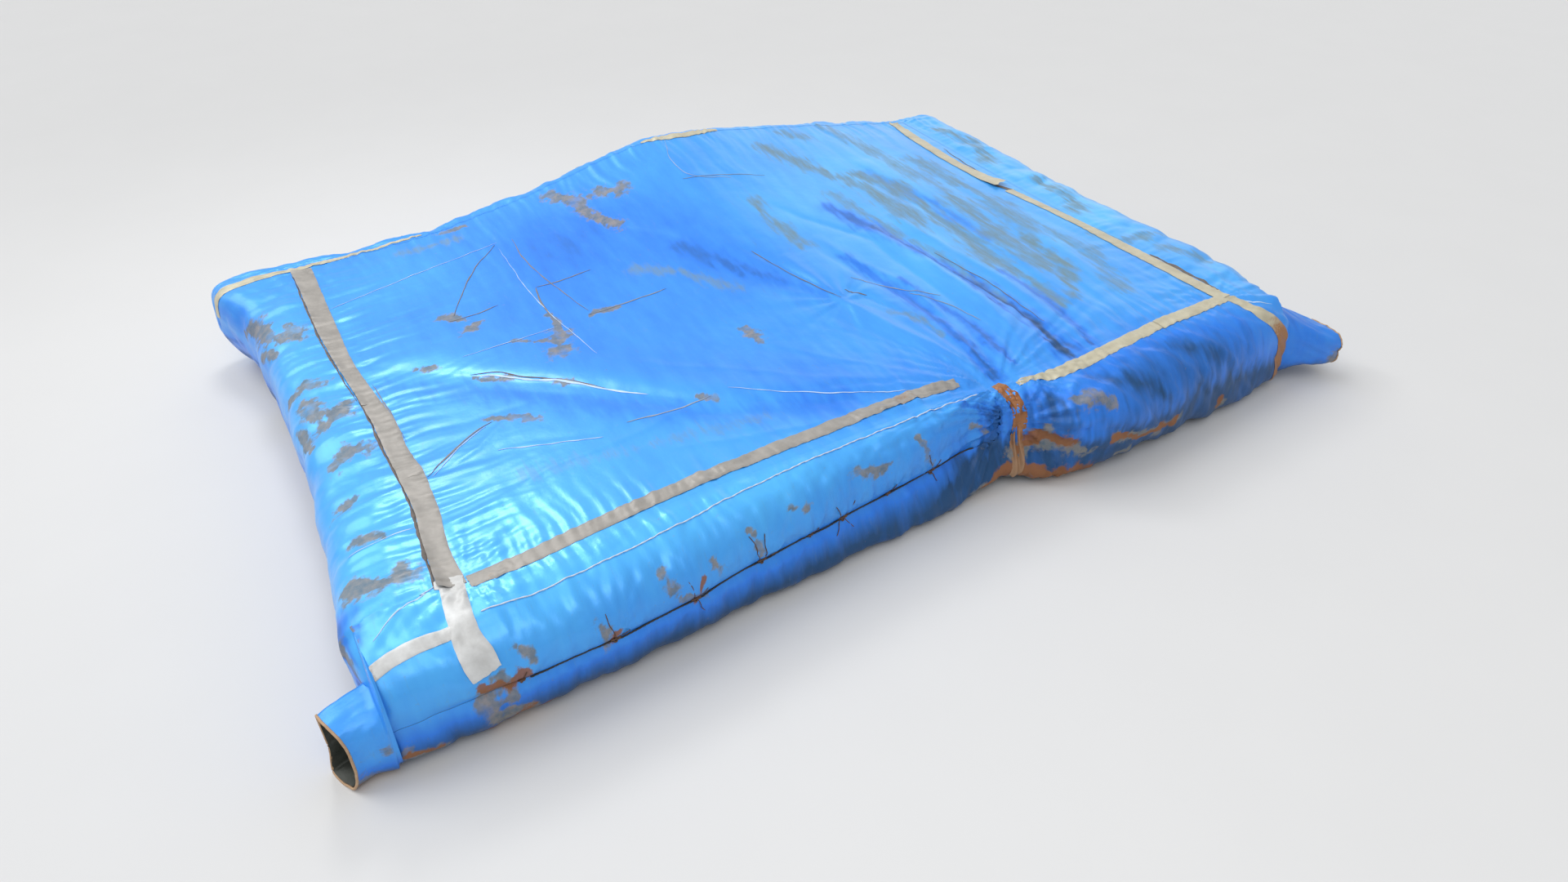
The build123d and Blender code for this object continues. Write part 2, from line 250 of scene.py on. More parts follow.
# ---- the folds ----
# Long folds pulled between the crown, the tapes and the pinch: points, half width, height.
LONG_FOLDS = [
    ([(0.12, 1.0), (0.14, 0.60), (0.17, 0.20), (0.20, -0.20)], 0.060, 0.004),
    ([(0.15, 0.92), (0.11, 0.79), (0.12, 0.68), (0.26, 0.60)], 0.012, 0.003),
    ([(0.17, 0.10), (0.21, -0.23), (0.26, -0.44), (0.34, -0.66), (0.38, -0.80)], 0.030, 0.013),
    ([(-0.93, -0.05), (-0.70, -0.24), (-0.42, -0.50), (-0.14, -0.66)], 0.030, -0.004),
    ([(0.08, 0.20), (0.14, 0.00), (0.21, -0.21)], 0.010, -0.006),
    ([(-0.10, 0.39), (0.00, 0.14), (0.10, -0.04), (0.19, -0.19)], 0.040, 0.003),
    ([(-0.09, 0.30), (-0.03, 0.10), (0.04, 0.00), (0.16, -0.14)], 0.030, -0.003),
    ([(0.26, -0.16), (0.34, -0.42), (0.37, -0.76)], 0.014, -0.008),
    ([(0.34, 0.16), (0.44, -0.24), (0.42, -0.72)], 0.028, 0.008),
    ([(0.31, -0.35), (0.36, -0.50), (0.42, -0.76)], 0.012, 0.004),
    ([(0.30, 0.42), (0.50, 0.05), (0.52, -0.40), (0.47, -0.74)], 0.022, -0.007),
    ([(0.50, 0.20), (0.60, -0.10), (0.60, -0.45), (0.54, -0.78)], 0.026, 0.007),
    ([(0.61, 0.10), (0.66, -0.20), (0.67, -0.50), (0.65, -0.79)], 0.024, -0.006),
    ([(0.68, 0.20), (0.74, -0.20), (0.75, -0.50), (0.70, -0.78)], 0.026, 0.008),
    ([(0.72, 0.55), (0.83, 0.20), (0.84, -0.13), (0.77, -0.69)], 0.020, -0.006),
    ([(0.86, 0.10), (0.90, -0.20), (0.88, -0.45)], 0.024, 0.005),
    ([(0.99, 0.10), (1.00, -0.30), (0.90, -0.66)], 0.024, -0.004),
    ([(1.10, 0.20), (1.09, -0.30), (0.98, -0.60)], 0.026, 0.004),
    ([(-0.62, -0.08), (-0.30, -0.34), (0.02, -0.60), (0.26, -0.78)], 0.014, 0.002),
    ([(-0.10, -0.30), (0.06, -0.52), (0.26, -0.76)], 0.012, 0.003),
    ([(-0.62, -0.58), (-0.24, -0.68), (0.10, -0.76)], 0.016, 0.004),
    ([(-1.17, -0.38), (-1.02, -0.32), (-0.88, -0.22)], 0.009, 0.004),
    ([(-1.18, -0.60), (-0.92, -0.52), (-0.58, -0.47), (-0.38, -0.44)], 0.014, 0.004),
    ([(-1.19, -0.14), (-1.00, -0.20), (-0.72, -0.20)], 0.018, -0.003),
    ([(-1.19, 0.61), (-0.90, 0.69), (-0.60, 0.72)], 0.010, 0.002),
    ([(-0.61, 0.68), (-0.61, 0.29), (-0.57, -0.08)], 0.008, 0.002),
    ([(-0.92, 0.11), (-0.62, 0.125)], 0.008, 0.0015),
    ([(-0.98, -0.36), (-0.72, -0.45)], 0.010, 0.003),
    ([(-1.40, -0.57), (-1.25, -0.56)], 0.010, 0.006),
    ([(-1.43, -0.87), (-1.35, -0.81), (-1.25, -0.78)], 0.012, 0.006),
]
# Steps where slack film rests on tight film: points, width, height. Each stands on its left side.
STEPS = [
    ([(-1.19, 0.24), (-1.05, 0.12), (-0.90, 0.00), (-0.70, -0.18), (-0.40, -0.455), (-0.14, -0.60),
      (0.07, -0.70), (0.32, -0.80)], 0.060, 0.0085),
    ([(-0.30, 0.66), (-0.10, 0.40), (0.04, 0.14), (0.20, -0.20)], 0.080, 0.0045),
    ([(0.65, -0.79), (0.67, -0.50), (0.64, -0.20), (0.57, 0.14)], 0.050, 0.0120),
    ([(0.42, -0.76), (0.42, -0.50), (0.36, -0.20), (0.30, 0.10)], 0.045, 0.0070),
    ([(-0.95, -0.36), (-0.60, -0.46), (-0.30, -0.52)], 0.045, 0.0030),
    ([(1.02, 0.70), (1.06, 0.20), (1.00, -0.30), (0.86, -0.70)], 0.080, 0.0050),
    ([(0.80, 0.60), (0.88, 0.20), (0.90, -0.20), (0.78, -0.74)], 0.070, 0.0060),
]
# Fans of small folds: centre, reach, folds in a turn, height.
FANS = [
    ((0.36, -0.80), 0.28, 44, 0.012),
    ((0.37, roll_b(0.40)), 0.19, 40, 0.020),
    ((-1.20, -0.79), 0.16, 18, 0.006),
    ((1.29, -0.79), 0.15, 20, 0.007),
    ((0.21, -0.22), 0.14, 16, 0.007),
    ((-1.21, 0.93), 0.16, 16, 0.006),
    ((1.29, 0.93), 0.16, 16, 0.006),
]
SEAM_B = roll_b(0.5)  # where the lacing runs on the plan
STITCH_X = [-1.17, -0.94, -0.72, -0.515, -0.36, -0.25, -0.09, 0.07]
FANS += [((stitch_x, SEAM_B), 0.075, 18, 0.011) for stitch_x in STITCH_X]

TAPED = 4  # how many of the lines below are taped
# Lines that the film gathers along: start, end, height of the gathers, and how far they reach.
GATHERS = [
    ((XL, YF), (XL, YB), 0.0090, 0.11),
    ((XL, YF), (CINCH_X, YF), 0.0075, 0.08),
    ((CINCH_X, YF), (XR, YF), 0.0085, 0.15),
    ((XR, YF), (XR, YB), 0.0042, 0.07),
    ((XL, YB), (XR, YB), 0.0060, 0.12),
]


def gathers(a, b, line, seed):
    """Small creased swells that stand square to a tape line and die away from it."""
    (x0, y0), (x1, y1), height, reach = line
    run = math.hypot(x1 - x0, y1 - y0)
    ux, uy = (x1 - x0) / run, (y1 - y0) / run
    along = (a - x0) * ux + (b - y0) * uy
    across = np.abs((b - y0) * ux - (a - x0) * uy)
    across = np.hypot(across, np.maximum(0, np.maximum(-along, along - run)))
    drift = along + 0.030 * noise(along * 4, across * 6, seed + 1)
    drift = drift + across * 0.25 * noise(along * 1.7, 0.5, seed + 2)
    reach = reach * (1 + 1.1 * noise(along * 5, 0.3, seed + 3))
    near = np.exp(-across / np.maximum(reach, 0.02))
    small = creased(noise(drift / 0.032, across / 0.30, seed + 4), 0.012)
    wide = creased(noise(drift / 0.085, across / 0.70, seed + 5))
    return height * (0.72 * small * near + 0.75 * wide * near ** 0.6)


def fan(a, b, centre, reach, count, height, seed):
    """Creased swells that spread from a point, as where cloth is pulled together."""
    x, y = a - centre[0], b - centre[1]
    far = np.hypot(x, y)
    turn = np.arctan2(y, x) + 0.035 * noise(far / 0.07, 0.5, seed + 1)
    swell = creased(noise(np.cos(turn) * count / 6 + 9, np.sin(turn) * count / 6 + far / 0.8, seed), 0.02)
    return height * swell * np.exp(-far / reach) * smooth_step(0, reach * 0.35, far)


def step_fold(a, b, points, width, height):
    """Slack film along a line: it stands up on the line's left side and falls steeply to the line."""
    d, along = line_distance(a, b, points)
    (x0, y0), (x1, y1) = points[0], points[-1]
    places = np.linspace(0, 1, len(points))
    line_a, line_b = [np.interp(along, places, column) for column in zip(*points)]
    left = np.sign((a - line_a) * -(y1 - y0) + (b - line_b) * (x1 - x0))
    ends = np.clip(5 * along * (1 - along), 0, 1) ** 0.6
    far = d / width
    return height * ends * np.where(left > 0, far * np.exp(1 - far), -0.25 * far * np.exp(1 - 2 * far))


def tape_hold(a, b):
    """1 where a tape holds the film flat, falling to 0 beside it."""
    hold = np.zeros(np.shape(a))
    for start, end, _, _ in GATHERS[:TAPED]:
        d, _ = line_distance(a, b, [start, end])
        hold = np.maximum(hold, np.exp(-((d / 0.030) ** 4)))
    return hold


def loose_folds(a, b, wander_a, wander_b):
    """Crumples of the film everywhere, and the puffs of the loose film down the sides."""
    beyond = np.maximum(np.maximum(XL - a, a - XR), np.maximum(b - YB, YF - b))
    loose = smooth_step(0.0, 0.12, beyond)
    crumple = creased(noise(wander_a * 8, wander_b * 8, 11))
    crumple = crumple + 0.5 * creased(noise(wander_a * 19, wander_b * 19, 12))
    puffs = creased(noise(wander_a * 3.0, wander_b * 6.0, 17), 0.05)
    back_puffs = creased(noise(wander_a * 5.5, wander_b * 2.4, 18), 0.05)
    puffs += (1.5 * back_puffs - puffs) * smooth_step(-0.05, 0.10, b - YB - np.maximum(np.abs(a) - XR, 0))
    return crumple * (0.0006 + 0.0022 * loose) + puffs * 0.0085 * loose * (b > YF - 0.01)


def right_folds(a, b, wander_a, wander_b):
    """Long folds of the right part of the top, which run from front to back."""
    right_side = smooth_step(0.35, 0.65, a) * smooth_step(-0.2, 0.1, b - YF)
    stretch = creased(noise(wander_a / 0.13, wander_b / 0.75, 13))
    return 0.0035 * stretch * right_side * (1 - 0.6 * smooth_step(-0.2, 0.8, b))


def roll_folds(a, b, wander_a, wander_b):
    """Long soft folds down the front roll, wide ones and narrow ones."""
    lean = 0.3 + 0.7 * smooth_step(0.3, 0.6, a)
    strong = smooth_step(0.03, 0.12, YF - b) * (0.75 + 0.70 * smooth_step(0.1, 0.5, a))
    wide = strong * 0.010 * creased(noise((wander_a + lean * b) / 0.15, wander_b / 0.70, 14))
    narrow = strong * 0.0045 * creased(noise((wander_a + lean * b) / 0.055, wander_b / 0.50, 16), 0.02)
    return wide, narrow


def with_lacing(lift, a, b):
    """The same folds with the groove that the lacing pulls in, puckered on both sides."""
    laced = (1 - smooth_step(0.18, 0.27, a)) * smooth_step(ROLL_LEFT, -1.2, a)
    off_seam = b - SEAM_B
    lift = lift * (1 - 0.75 * laced * bell(off_seam, 0.022)) - laced * 0.011 * bell(off_seam, 0.010)
    puckered = bell(off_seam, 0.06) * smooth_step(0.004, 0.03, np.abs(off_seam))
    return lift + laced * 0.008 * puckered * creased(noise(a / 0.045, off_seam / 0.3, 15), 0.015)


def folds(a, b):
    """How far the film stands off the smooth mat at plan points."""
    wander = wandered(a, b, (0.022, 4), (0.006, 14), 1)
    lift = 0.005 * noise(a * 2.2, b * 2.2, 5)
    for points, width, height in LONG_FOLDS:
        d, along = line_distance(*wander, points)
        ends = np.clip(4 * along * (1 - along), 0, 1) ** 0.5
        lift += height * ends * np.exp(-np.sqrt(d * d + (0.25 * width) ** 2) / width * 1.3)
    for points, width, height in STEPS:
        lift += step_fold(*wander, points, width, height)
    for i, line in enumerate(GATHERS):
        lift += gathers(a, b, line, 20 + 10 * i)
    for i, (centre, reach, count, height) in enumerate(FANS):
        lift += fan(a, b, centre, reach, count, height, 100 + 3 * i)
    lift += loose_folds(a, b, *wander)
    lift += right_folds(a, b, *wander)
    for swell in roll_folds(a, b, *wander):
        lift += swell
    return with_lacing(lift, a, b) * (1 - 0.72 * tape_hold(a, b))


# ---- meshes on the plan ----
def in_scene(name, data):
    """A new object of the scene, around a mesh, a light or a camera."""
    piece = bpy.data.objects.new(name, data)
    bpy.context.scene.collection.objects.link(piece)
    return piece


def make_mesh(name, points, faces):
    """A smooth-shaded piece from an array of points."""
    mesh = bpy.data.meshes.new(name)
    mesh.from_pydata(points.reshape(-1, 3).tolist(), [], faces)
    mesh.polygons.foreach_set("use_smooth", [True] * len(mesh.polygons))
    return in_scene(name, mesh)


def grid_faces(rows, columns, closed=False):
    """Quads of a grid of points; closed also joins its last column to its first."""
    index = np.arange(rows * columns).reshape(rows, columns)
    if closed:
        index = np.concatenate([index, index[:, :1]], 1)
    corners = [index[:-1, :-1], index[1:, :-1], index[1:, 1:], index[:-1, 1:]]
    return np.stack(corners, -1).reshape(-1, 4).tolist()


def store(piece, name, values):
    """Keep one number, or one vector, for each of the mesh's points, for its material to read."""
    kind, key = ("FLOAT_VECTOR", "vector") if values.shape[-1:] == (3,) else ("FLOAT", "value")
    attribute = piece.data.attributes.new(name, kind, "POINT")
    attribute.data.foreach_set(key, values.astype(np.float32).ravel())


def store_looks(piece, plan, stain, dust, painted_light_tone_here, rust):
    """Keep all that the film's material reads."""
    store(piece, "plan", plan)
    store(piece, "stain", stain)
    store(piece, "dust", dust)
    store(piece, "haze", painted_light_tone_here)
    store(piece, "rust", rust)


def unit(vectors):
    """The same vectors with a length of 1."""
    return vectors / np.maximum(np.linalg.norm(vectors, axis=-1, keepdims=True), 1e-9)


def lifted(base, a, b, lift):
    """Points over plan points, at a height off the folded film."""
    e = 0.004  # half the step that the slope of the smooth mat is taken over
    along_a = base(a + e, b) - base(a - e, b)
    along_b = base(a, b + e) - base(a, b - e)
    normal = unit(np.cross(along_a, along_b))
    points = base(a, b) + normal * (folds(a, b) + lift)[..., None]
    points[..., 2] = np.maximum(points[..., 2], LOWEST + 0.5 * lift)
    return points


def film(name, base, a_ends, b_ends, lift):
    """One sheet of the wrap: a grid on the plan between two values of a and two of b."""
    rows = int(round((a_ends[1] - a_ends[0]) / GRID)) + 1
    columns = int(round((b_ends[1] - b_ends[0]) / GRID)) + 1
    a, b = np.meshgrid(np.linspace(*a_ends, rows), np.linspace(*b_ends, columns), indexing="ij")
    points = lifted(base, a, b, lift)
    piece = make_mesh(name, points, grid_faces(rows, columns))
    store_looks(piece, np.stack([a, b, 0 * a], -1), strokes(a, b, STAINS, STAIN_SEED),
                strokes(a, b, DUST, DUST_SEED, STREAKS), haze(a, b), strokes(a, b, RUST, RUST_SEED))
    return piece


def smooth_path(rows, step):
    """A smooth line through rows of numbers, of which the first two are its place on the plan."""
    rows = np.array(rows, float)
    at = np.concatenate([[0], np.cumsum(np.hypot(*np.diff(rows[:, :2], axis=0).T))])
    along = np.linspace(0, at[-1], int(at[-1] / step) + 2)
    return along, [curve(list(zip(at, column)), along) for column in rows.T]


TAPE_COLUMNS = 13  # points across a tape


def tape(node, seed, rows, material, slot="tape", lift=0.0022, crease=0.0009, rust=(), torn=0.004, curl=0.0):
    """A strip of tape stuck along a line on the plan; its rows are a, b, its width and any peel.

    It stands off the film by lift, and by curl along one edge; crease is the height of its ridges, torn how
    ragged its ends are, and each brown patch has a row: its middle, half length and strength. The brown is
    rust on the top of the mat, and painted shade where a tape runs down the front.
    """
    along, (a, b, width, peel) = smooth_path([(*row, 0)[:4] for row in rows], TAPE_STEP)
    s, u = np.meshgrid(along, np.linspace(-1, 1, TAPE_COLUMNS), indexing="ij")
    turn_a, turn_b = np.gradient(a, along)[:, None], np.gradient(b, along)[:, None]
    size = np.hypot(turn_a, turn_b)
    edge = np.sign(u)
    ragged = 1 + 0.07 * noise(s / 0.06, edge * 3.3, seed) + 0.04 * noise(s / 0.017, edge * 7.7, seed)
    side = u * ragged * width[:, None] / 2
    ends = torn * (noise(u * 2.5, 0.5, seed + 1) + 0.5 * noise(u * 7, 0.5, seed + 2))
    near_end = np.clip((0.02 - s) / 0.02, 0, 1) - np.clip((s - along[-1] + 0.02) / 0.02, 0, 1)
    plan_a = a[:, None] - turn_b / size * side + turn_a / size * ends * near_end
    plan_b = b[:, None] + turn_a / size * side + turn_b / size * ends * near_end
    patches = smooth_step(-0.1, 0.25, noise(s / 0.15, 0.5, seed + 4))
    ridges = creased(noise(s / 0.022, u * 0.7, seed + 3)) * patches
    ridges = ridges * (1 + 1.6 * np.exp(-s / 0.25) * (crease > 0.002))
    height = lift * (1 - 0.6 * u ** 8) + crease * np.maximum(ridges, -0.2) + peel[:, None] * (1 + 0.4 * u)
    height += curl * (1 + 0.8 * noise(s / 0.10, 0.5, seed + 5)) * ((1 - u) / 2) ** 3
    points = lifted(mat_base, plan_a, plan_b, height)
    piece = make_mesh(node + "_piece", points, grid_faces(*s.shape))
    store(piece, "plan", np.stack([s, side, 0 * s], -1))
    brown = np.zeros(s.shape)
    for middle, half, strength in rust:
        brown = np.maximum(brown, strength * bell(s - middle, half))
    store(piece, "rust", brown)
    finish_piece(piece, material, slot, node)


def tube(centres, radius, lobes=0, twist=0.0, sides=12):
    """Points and faces of a tube along a line; with lobes it is the twisted strands of a cord."""
    along = np.concatenate([[0], np.cumsum(np.linalg.norm(np.diff(centres, axis=0), axis=1))])
    forward = unit(np.gradient(centres, axis=0))
    side = unit(np.cross(forward, np.array([0.03, 0.2, 1.0])))
    up = np.cross(side, forward)
    turn = np.linspace(0, 2 * math.pi, sides, endpoint=False)[None]
    grow = np.ones((len(centres), sides))
    if lobes:
        grow = 1 + 0.22 * np.cos(lobes * (turn - twist * along[:, None]))
    ends = np.clip(np.minimum(along, along[-1] - along) / (2 * radius) + 0.25, 0, 1) ** 0.5
    grow = grow * ends[:, None] * radius
    spoke = np.cos(turn)[..., None] * side[:, None] + np.sin(turn)[..., None] * up[:, None]
    points = centres[:, None] + spoke * grow[..., None]
    faces = grid_faces(len(centres), sides, closed=True)
    faces.append(list(range(sides)))
    faces.append([len(centres) * sides - 1 - i for i in range(sides)])
    return points.reshape(-1, 3), faces


def join_parts(name, parts):
    """One mesh of several lots of points and faces."""
    points, faces, count = [], [], 0
    for part_points, part_faces in parts:
        points.append(part_points)
        faces += [[i + count for i in face] for face in part_faces]
        count += len(part_points)
    return make_mesh(name, np.concatenate(points), faces)


def cord_on_plan(rows, radius, lift, **shape):
    """A tube that lies along a line on the plan, at a height off the film."""
    _, (a, b) = smooth_path(rows, CORD_STEP)
    return tube(lifted(mat_base, a, b, lift), radius, **shape)


# ---- dirt, and painted light and shade, as strokes on the plan: points, half width, strength ----
def rolled(points):
    """Plan points of the front roll, from points whose second place is a share of its half turn."""
    return [(a, roll_b(turned)) for a, turned in points]


def on_roll(rows):
    """Strokes of the front roll, from rows of such points, half width and strength."""
    return [(rolled(points), width, strength) for points, width, strength in rows]


# Those past YB or XR are on the back and the right, which the photograph does not show.
STAINS = [
    ([(-0.35, 0.88), (-0.29, 0.80), (-0.275, 0.68), (-0.22, 0.57)], 0.028, 1.0),
    ([(-0.21, 0.78), (-0.13, 0.74)], 0.032, 0.9),
    ([(-0.76, 0.925), (-0.66, 0.90)], 0.016, 0.8),
    ([(-0.90, 0.37), (-0.85, 0.33)], 0.020, 1.0),
    ([(-0.875, 0.25), (-0.82, 0.28)], 0.020, 1.0),
    ([(-0.61, 0.20), (-0.62, 0.08)], 0.014, 1.0),
    ([(-0.63, 0.08), (-0.66, 0.00)], 0.034, 1.0),
    ([(-0.76, 0.12), (-0.68, 0.07)], 0.012, 0.9),
    ([(-0.50, 0.14), (-0.42, 0.13)], 0.014, 0.9),
    ([(-0.14, -0.19), (-0.12, -0.26)], 0.024, 0.8),
    ([(-0.96, -0.21), (-0.90, -0.24), (-0.84, -0.28)], 0.017, 1.0),
    ([(-1.06, 0.13), (-1.00, 0.10)], 0.012, 0.9),
    ([(-0.93, 0.00), (-0.84, -0.06)], 0.013, 1.0),
    ([(-0.74, -0.14), (-0.70, -0.17)], 0.012, 0.9),
    ([(-0.42, -0.43), (-0.38, -0.46)], 0.014, 1.0),
    ([(-1.43, 0.70), (-1.40, 0.56), (-1.33, 0.53)], 0.036, 1.0),
    ([(-1.45, 0.53), (-1.41, 0.47)], 0.020, 0.9),
    ([(-1.48, 0.75), (-1.45, 0.73)], 0.016, 0.9),
    ([(-1.43, 0.21), (-1.37, 0.22), (-1.30, 0.20)], 0.022, 1.0),
    ([(-1.38, 0.13), (-1.36, 0.00), (-1.30, 0.03)], 0.032, 1.0),
    ([(-1.43, 0.04), (-1.42, -0.07)], 0.022, 1.0),
    ([(-1.37, -0.20), (-1.32, -0.15), (-1.27, -0.17)], 0.028, 1.0),
    ([(-1.40, -0.38), (-1.36, -0.36)], 0.020, 0.9),
    ([(-1.38, -0.52), (-1.31, -0.55)], 0.022, 0.7),
    ([(-1.41, -0.67), (-1.37, -0.71), (-1.31, -0.71)], 0.030, 1.0),
    ([(-1.47, -0.80), (-1.49, -0.86)], 0.020, 1.0),
    ([(-1.10, YB + 0.20), (-1.02, YB + 0.26), (-0.98, YB + 0.36)], 0.026, 0.9),
    ([(-0.52, YB + 0.14), (-0.46, YB + 0.22)], 0.024, 0.8),
    ([(-0.30, YB + 0.36), (-0.10, YB + 0.38)], 0.024, 0.9),
    ([(0.36, YB + 0.18), (0.42, YB + 0.30), (0.50, YB + 0.33)], 0.028, 0.9),
    ([(0.98, YB + 0.16), (1.04, YB + 0.28)], 0.022, 0.8),
    ([(1.26, YB + 0.34), (1.34, YB + 0.40)], 0.024, 0.9),
    ([(XR + 0.30, 0.62), (XR + 0.38, 0.55), (XR + 0.40, 0.44)], 0.026, 0.9),
    ([(XR + 0.26, 0.10), (XR + 0.34, 0.02)], 0.024, 0.8),
    ([(XR + 0.34, -0.36), (XR + 0.42, -0.48)], 0.028, 0.9),
] + on_roll([
    ([(-1.26, 0.50), (-1.24, 0.58), (-1.16, 0.60)], 0.026, 1.0),
    ([(-1.22, 0.44), (-1.20, 0.52)], 0.020, 0.9),
    ([(-1.44, 0.56), (-1.43, 0.66), (-1.37, 0.68)], 0.018, 1.0),
    ([(-1.16, 0.33), (-1.14, 0.42)], 0.012, 0.8),
    ([(-0.98, 0.36), (-0.96, 0.50)], 0.014, 0.9),
    ([(-0.80, 0.28), (-0.78, 0.40)], 0.014, 0.9),
    ([(-0.77, 0.46), (-0.70, 0.50)], 0.012, 1.0),
    ([(-0.66, 0.34), (-0.64, 0.44)], 0.009, 0.8),
    ([(-0.54, 0.30), (-0.52, 0.46)], 0.009, 0.9),
    ([(-0.43, 0.27), (-0.36, 0.33)], 0.010, 0.9),
    ([(-0.20, 0.27), (-0.11, 0.34)], 0.020, 0.8),
    ([(0.02, 0.22), (0.06, 0.45)], 0.012, 0.9),
    ([(0.22, 0.34), (0.27, 0.42)], 0.012, 0.9),
    ([(0.52, 0.25), (0.62, 0.30)], 0.022, 0.9),
    ([(0.62, 0.50), (0.76, 0.52), (0.92, 0.52)], 0.016, 1.0),
    ([(0.66, 0.60), (0.72, 0.58)], 0.012, 0.9),
    ([(1.12, 0.58), (1.14, 0.62)], 0.016, 1.0),
    ([(0.36, 0.55), (0.43, 0.49), (0.55, 0.52)], 0.024, 1.0),
    ([(0.37, 0.68), (0.52, 0.70)], 0.018, 1.0),
    ([(0.35, 0.80), (0.48, 0.77)], 0.018, 1.0),
    ([(0.20, 0.70), (0.30, 0.74)], 0.014, 0.9),
    ([(-0.60, 0.74), (-0.40, 0.76)], 0.012, 0.7),
    ([(0.80, 0.80), (1.00, 0.78)], 0.012, 0.7),
])
# Narrow painted lines of light and shade: points, width, and how pale, from 0 for painted shade in creases,
# beside tape edges and under a lifted tape end, to 1 for a painted highlight along a fold's crest.
LIGHT_AND_SHADE_LINES = [
    ([(-0.93, 0.010), (-0.88, -0.017), (-0.83, -0.065), (-0.70, -0.165), (-0.62, -0.255), (-0.53, -0.34)],
     0.007, 0.95),
    ([(-0.93, 0.018), (-0.87, -0.010), (-0.82, -0.060), (-0.70, -0.158), (-0.62, -0.248)], 0.004, 0.05),
    ([(-1.17, -0.375), (-1.10, -0.32), (-1.02, -0.26), (-0.95, -0.23)], 0.005, 0.15),
    ([(-1.16, -0.385), (-1.02, -0.268), (-0.97, -0.245)], 0.003, 0.95),
    ([(-0.98, -0.36), (-0.85, -0.41), (-0.72, -0.455)], 0.004, 0.90),
    ([(-0.64, -0.43), (-0.51, -0.442), (-0.39, -0.444)], 0.005, 0.40),
    ([(-0.87, 0.36), (-0.78, 0.52), (-0.70, 0.63), (-0.61, 0.71)], 0.004, 0.10),
    ([(-0.55, 0.71), (-0.56, 0.58), (-0.55, 0.44), (-0.50, 0.16)], 0.004, 0.15),
    ([(-0.89, 0.337), (-0.81, 0.335), (-0.73, 0.346)], 0.005, 0.15),
    ([(-0.59, 0.38), (-0.52, 0.372), (-0.40, 0.375)], 0.004, 0.15),
    ([(-0.59, 0.38), (-0.61, 0.28), (-0.61, 0.18)], 0.006, 0.10),
    ([(-0.51, 0.14), (-0.40, 0.137), (-0.24, 0.138)], 0.005, 0.25),
    ([(-0.61, 0.68), (-0.615, 0.29), (-0.575, -0.08)], 0.0025, 0.85),
    ([(-1.19, 0.61), (-0.90, 0.69), (-0.60, 0.72)], 0.0025, 0.85),
    ([(-0.92, 0.11), (-0.62, 0.125)], 0.0025, 0.85),
    ([(0.096, 0.17), (0.14, 0.00), (0.204, -0.21)], 0.004, 0.05),
    ([(0.09, 0.66), (0.23, 0.633), (0.39, 0.583)], 0.003, 0.30),
    ([(0.15, 0.92), (0.11, 0.79), (0.12, 0.68), (0.26, 0.60)], 0.0022, 0.60),
    ([(0.24, -0.17), (0.29, -0.23)], 0.005, 0.05),
    ([(-1.395, -0.57), (-1.33, -0.564), (-1.25, -0.558)], 0.004, 0.95),
    ([(-1.43, -0.87), (-1.35, -0.81), (-1.26, -0.78)], 0.004, 0.90),
    ([(-0.33, -0.44), (-0.10, -0.60), (0.10, -0.705)], 0.003, 0.90),
    ([(0.66, -0.10), (0.70, -0.36), (0.69, -0.62)], 0.003, 0.05),
    ([(1.31, -0.82), (1.36, roll_b(0.08)), (1.43, roll_b(0.16))], 0.004, 0.95),
    ([(1.212, 0.240), (1.232, 0.200), (1.250, 0.150)], 0.024, 0.0),
    ([(-0.86, YB + 0.10), (-0.80, YB + 0.22), (-0.82, YB + 0.36)], 0.004, 0.15),
    ([(0.12, YB + 0.14), (0.16, YB + 0.30)], 0.003, 0.85),
    ([(0.66, YB + 0.12), (0.74, YB + 0.24), (0.90, YB + 0.30)], 0.004, 0.15),
    ([(XR + 0.20, 0.30), (XR + 0.34, 0.26)], 0.003, 0.85),
    ([(XR + 0.22, -0.20), (XR + 0.36, -0.14)], 0.004, 0.15),
    ([(1.318, -0.46), (1.325, -0.60), (1.330, -0.70), (1.320, -0.78)], 0.013, 0.0),
    ([(1.262, 0.62), (1.250, 0.50), (1.245, 0.36)], 0.006, 0.1),
    ([(0.30, -0.12), (0.42, -0.26), (0.50, -0.34)], 0.004, 0.3),
    ([(0.42, -0.28), (0.50, -0.42), (0.52, -0.52)], 0.003, 0.3),
    ([(-1.245, 0.90), (-1.255, 0.70), (-1.262, 0.48), (-1.258, 0.26), (-1.245, 0.05)], 0.006, 0.0),
    ([(-1.240, 0.10), (-1.236, -0.05), (-1.239, -0.22), (-1.236, -0.40)], 0.008, 0.0),
    ([(-1.236, -0.36), (-1.239, -0.50), (-1.247, -0.60), (-1.258, -0.72), (-1.262, -0.80)], 0.009, 0.0),
    ([(-1.185, 0.12), (-1.176, -0.05), (-1.176, -0.20)], 0.003, 0.2),
]
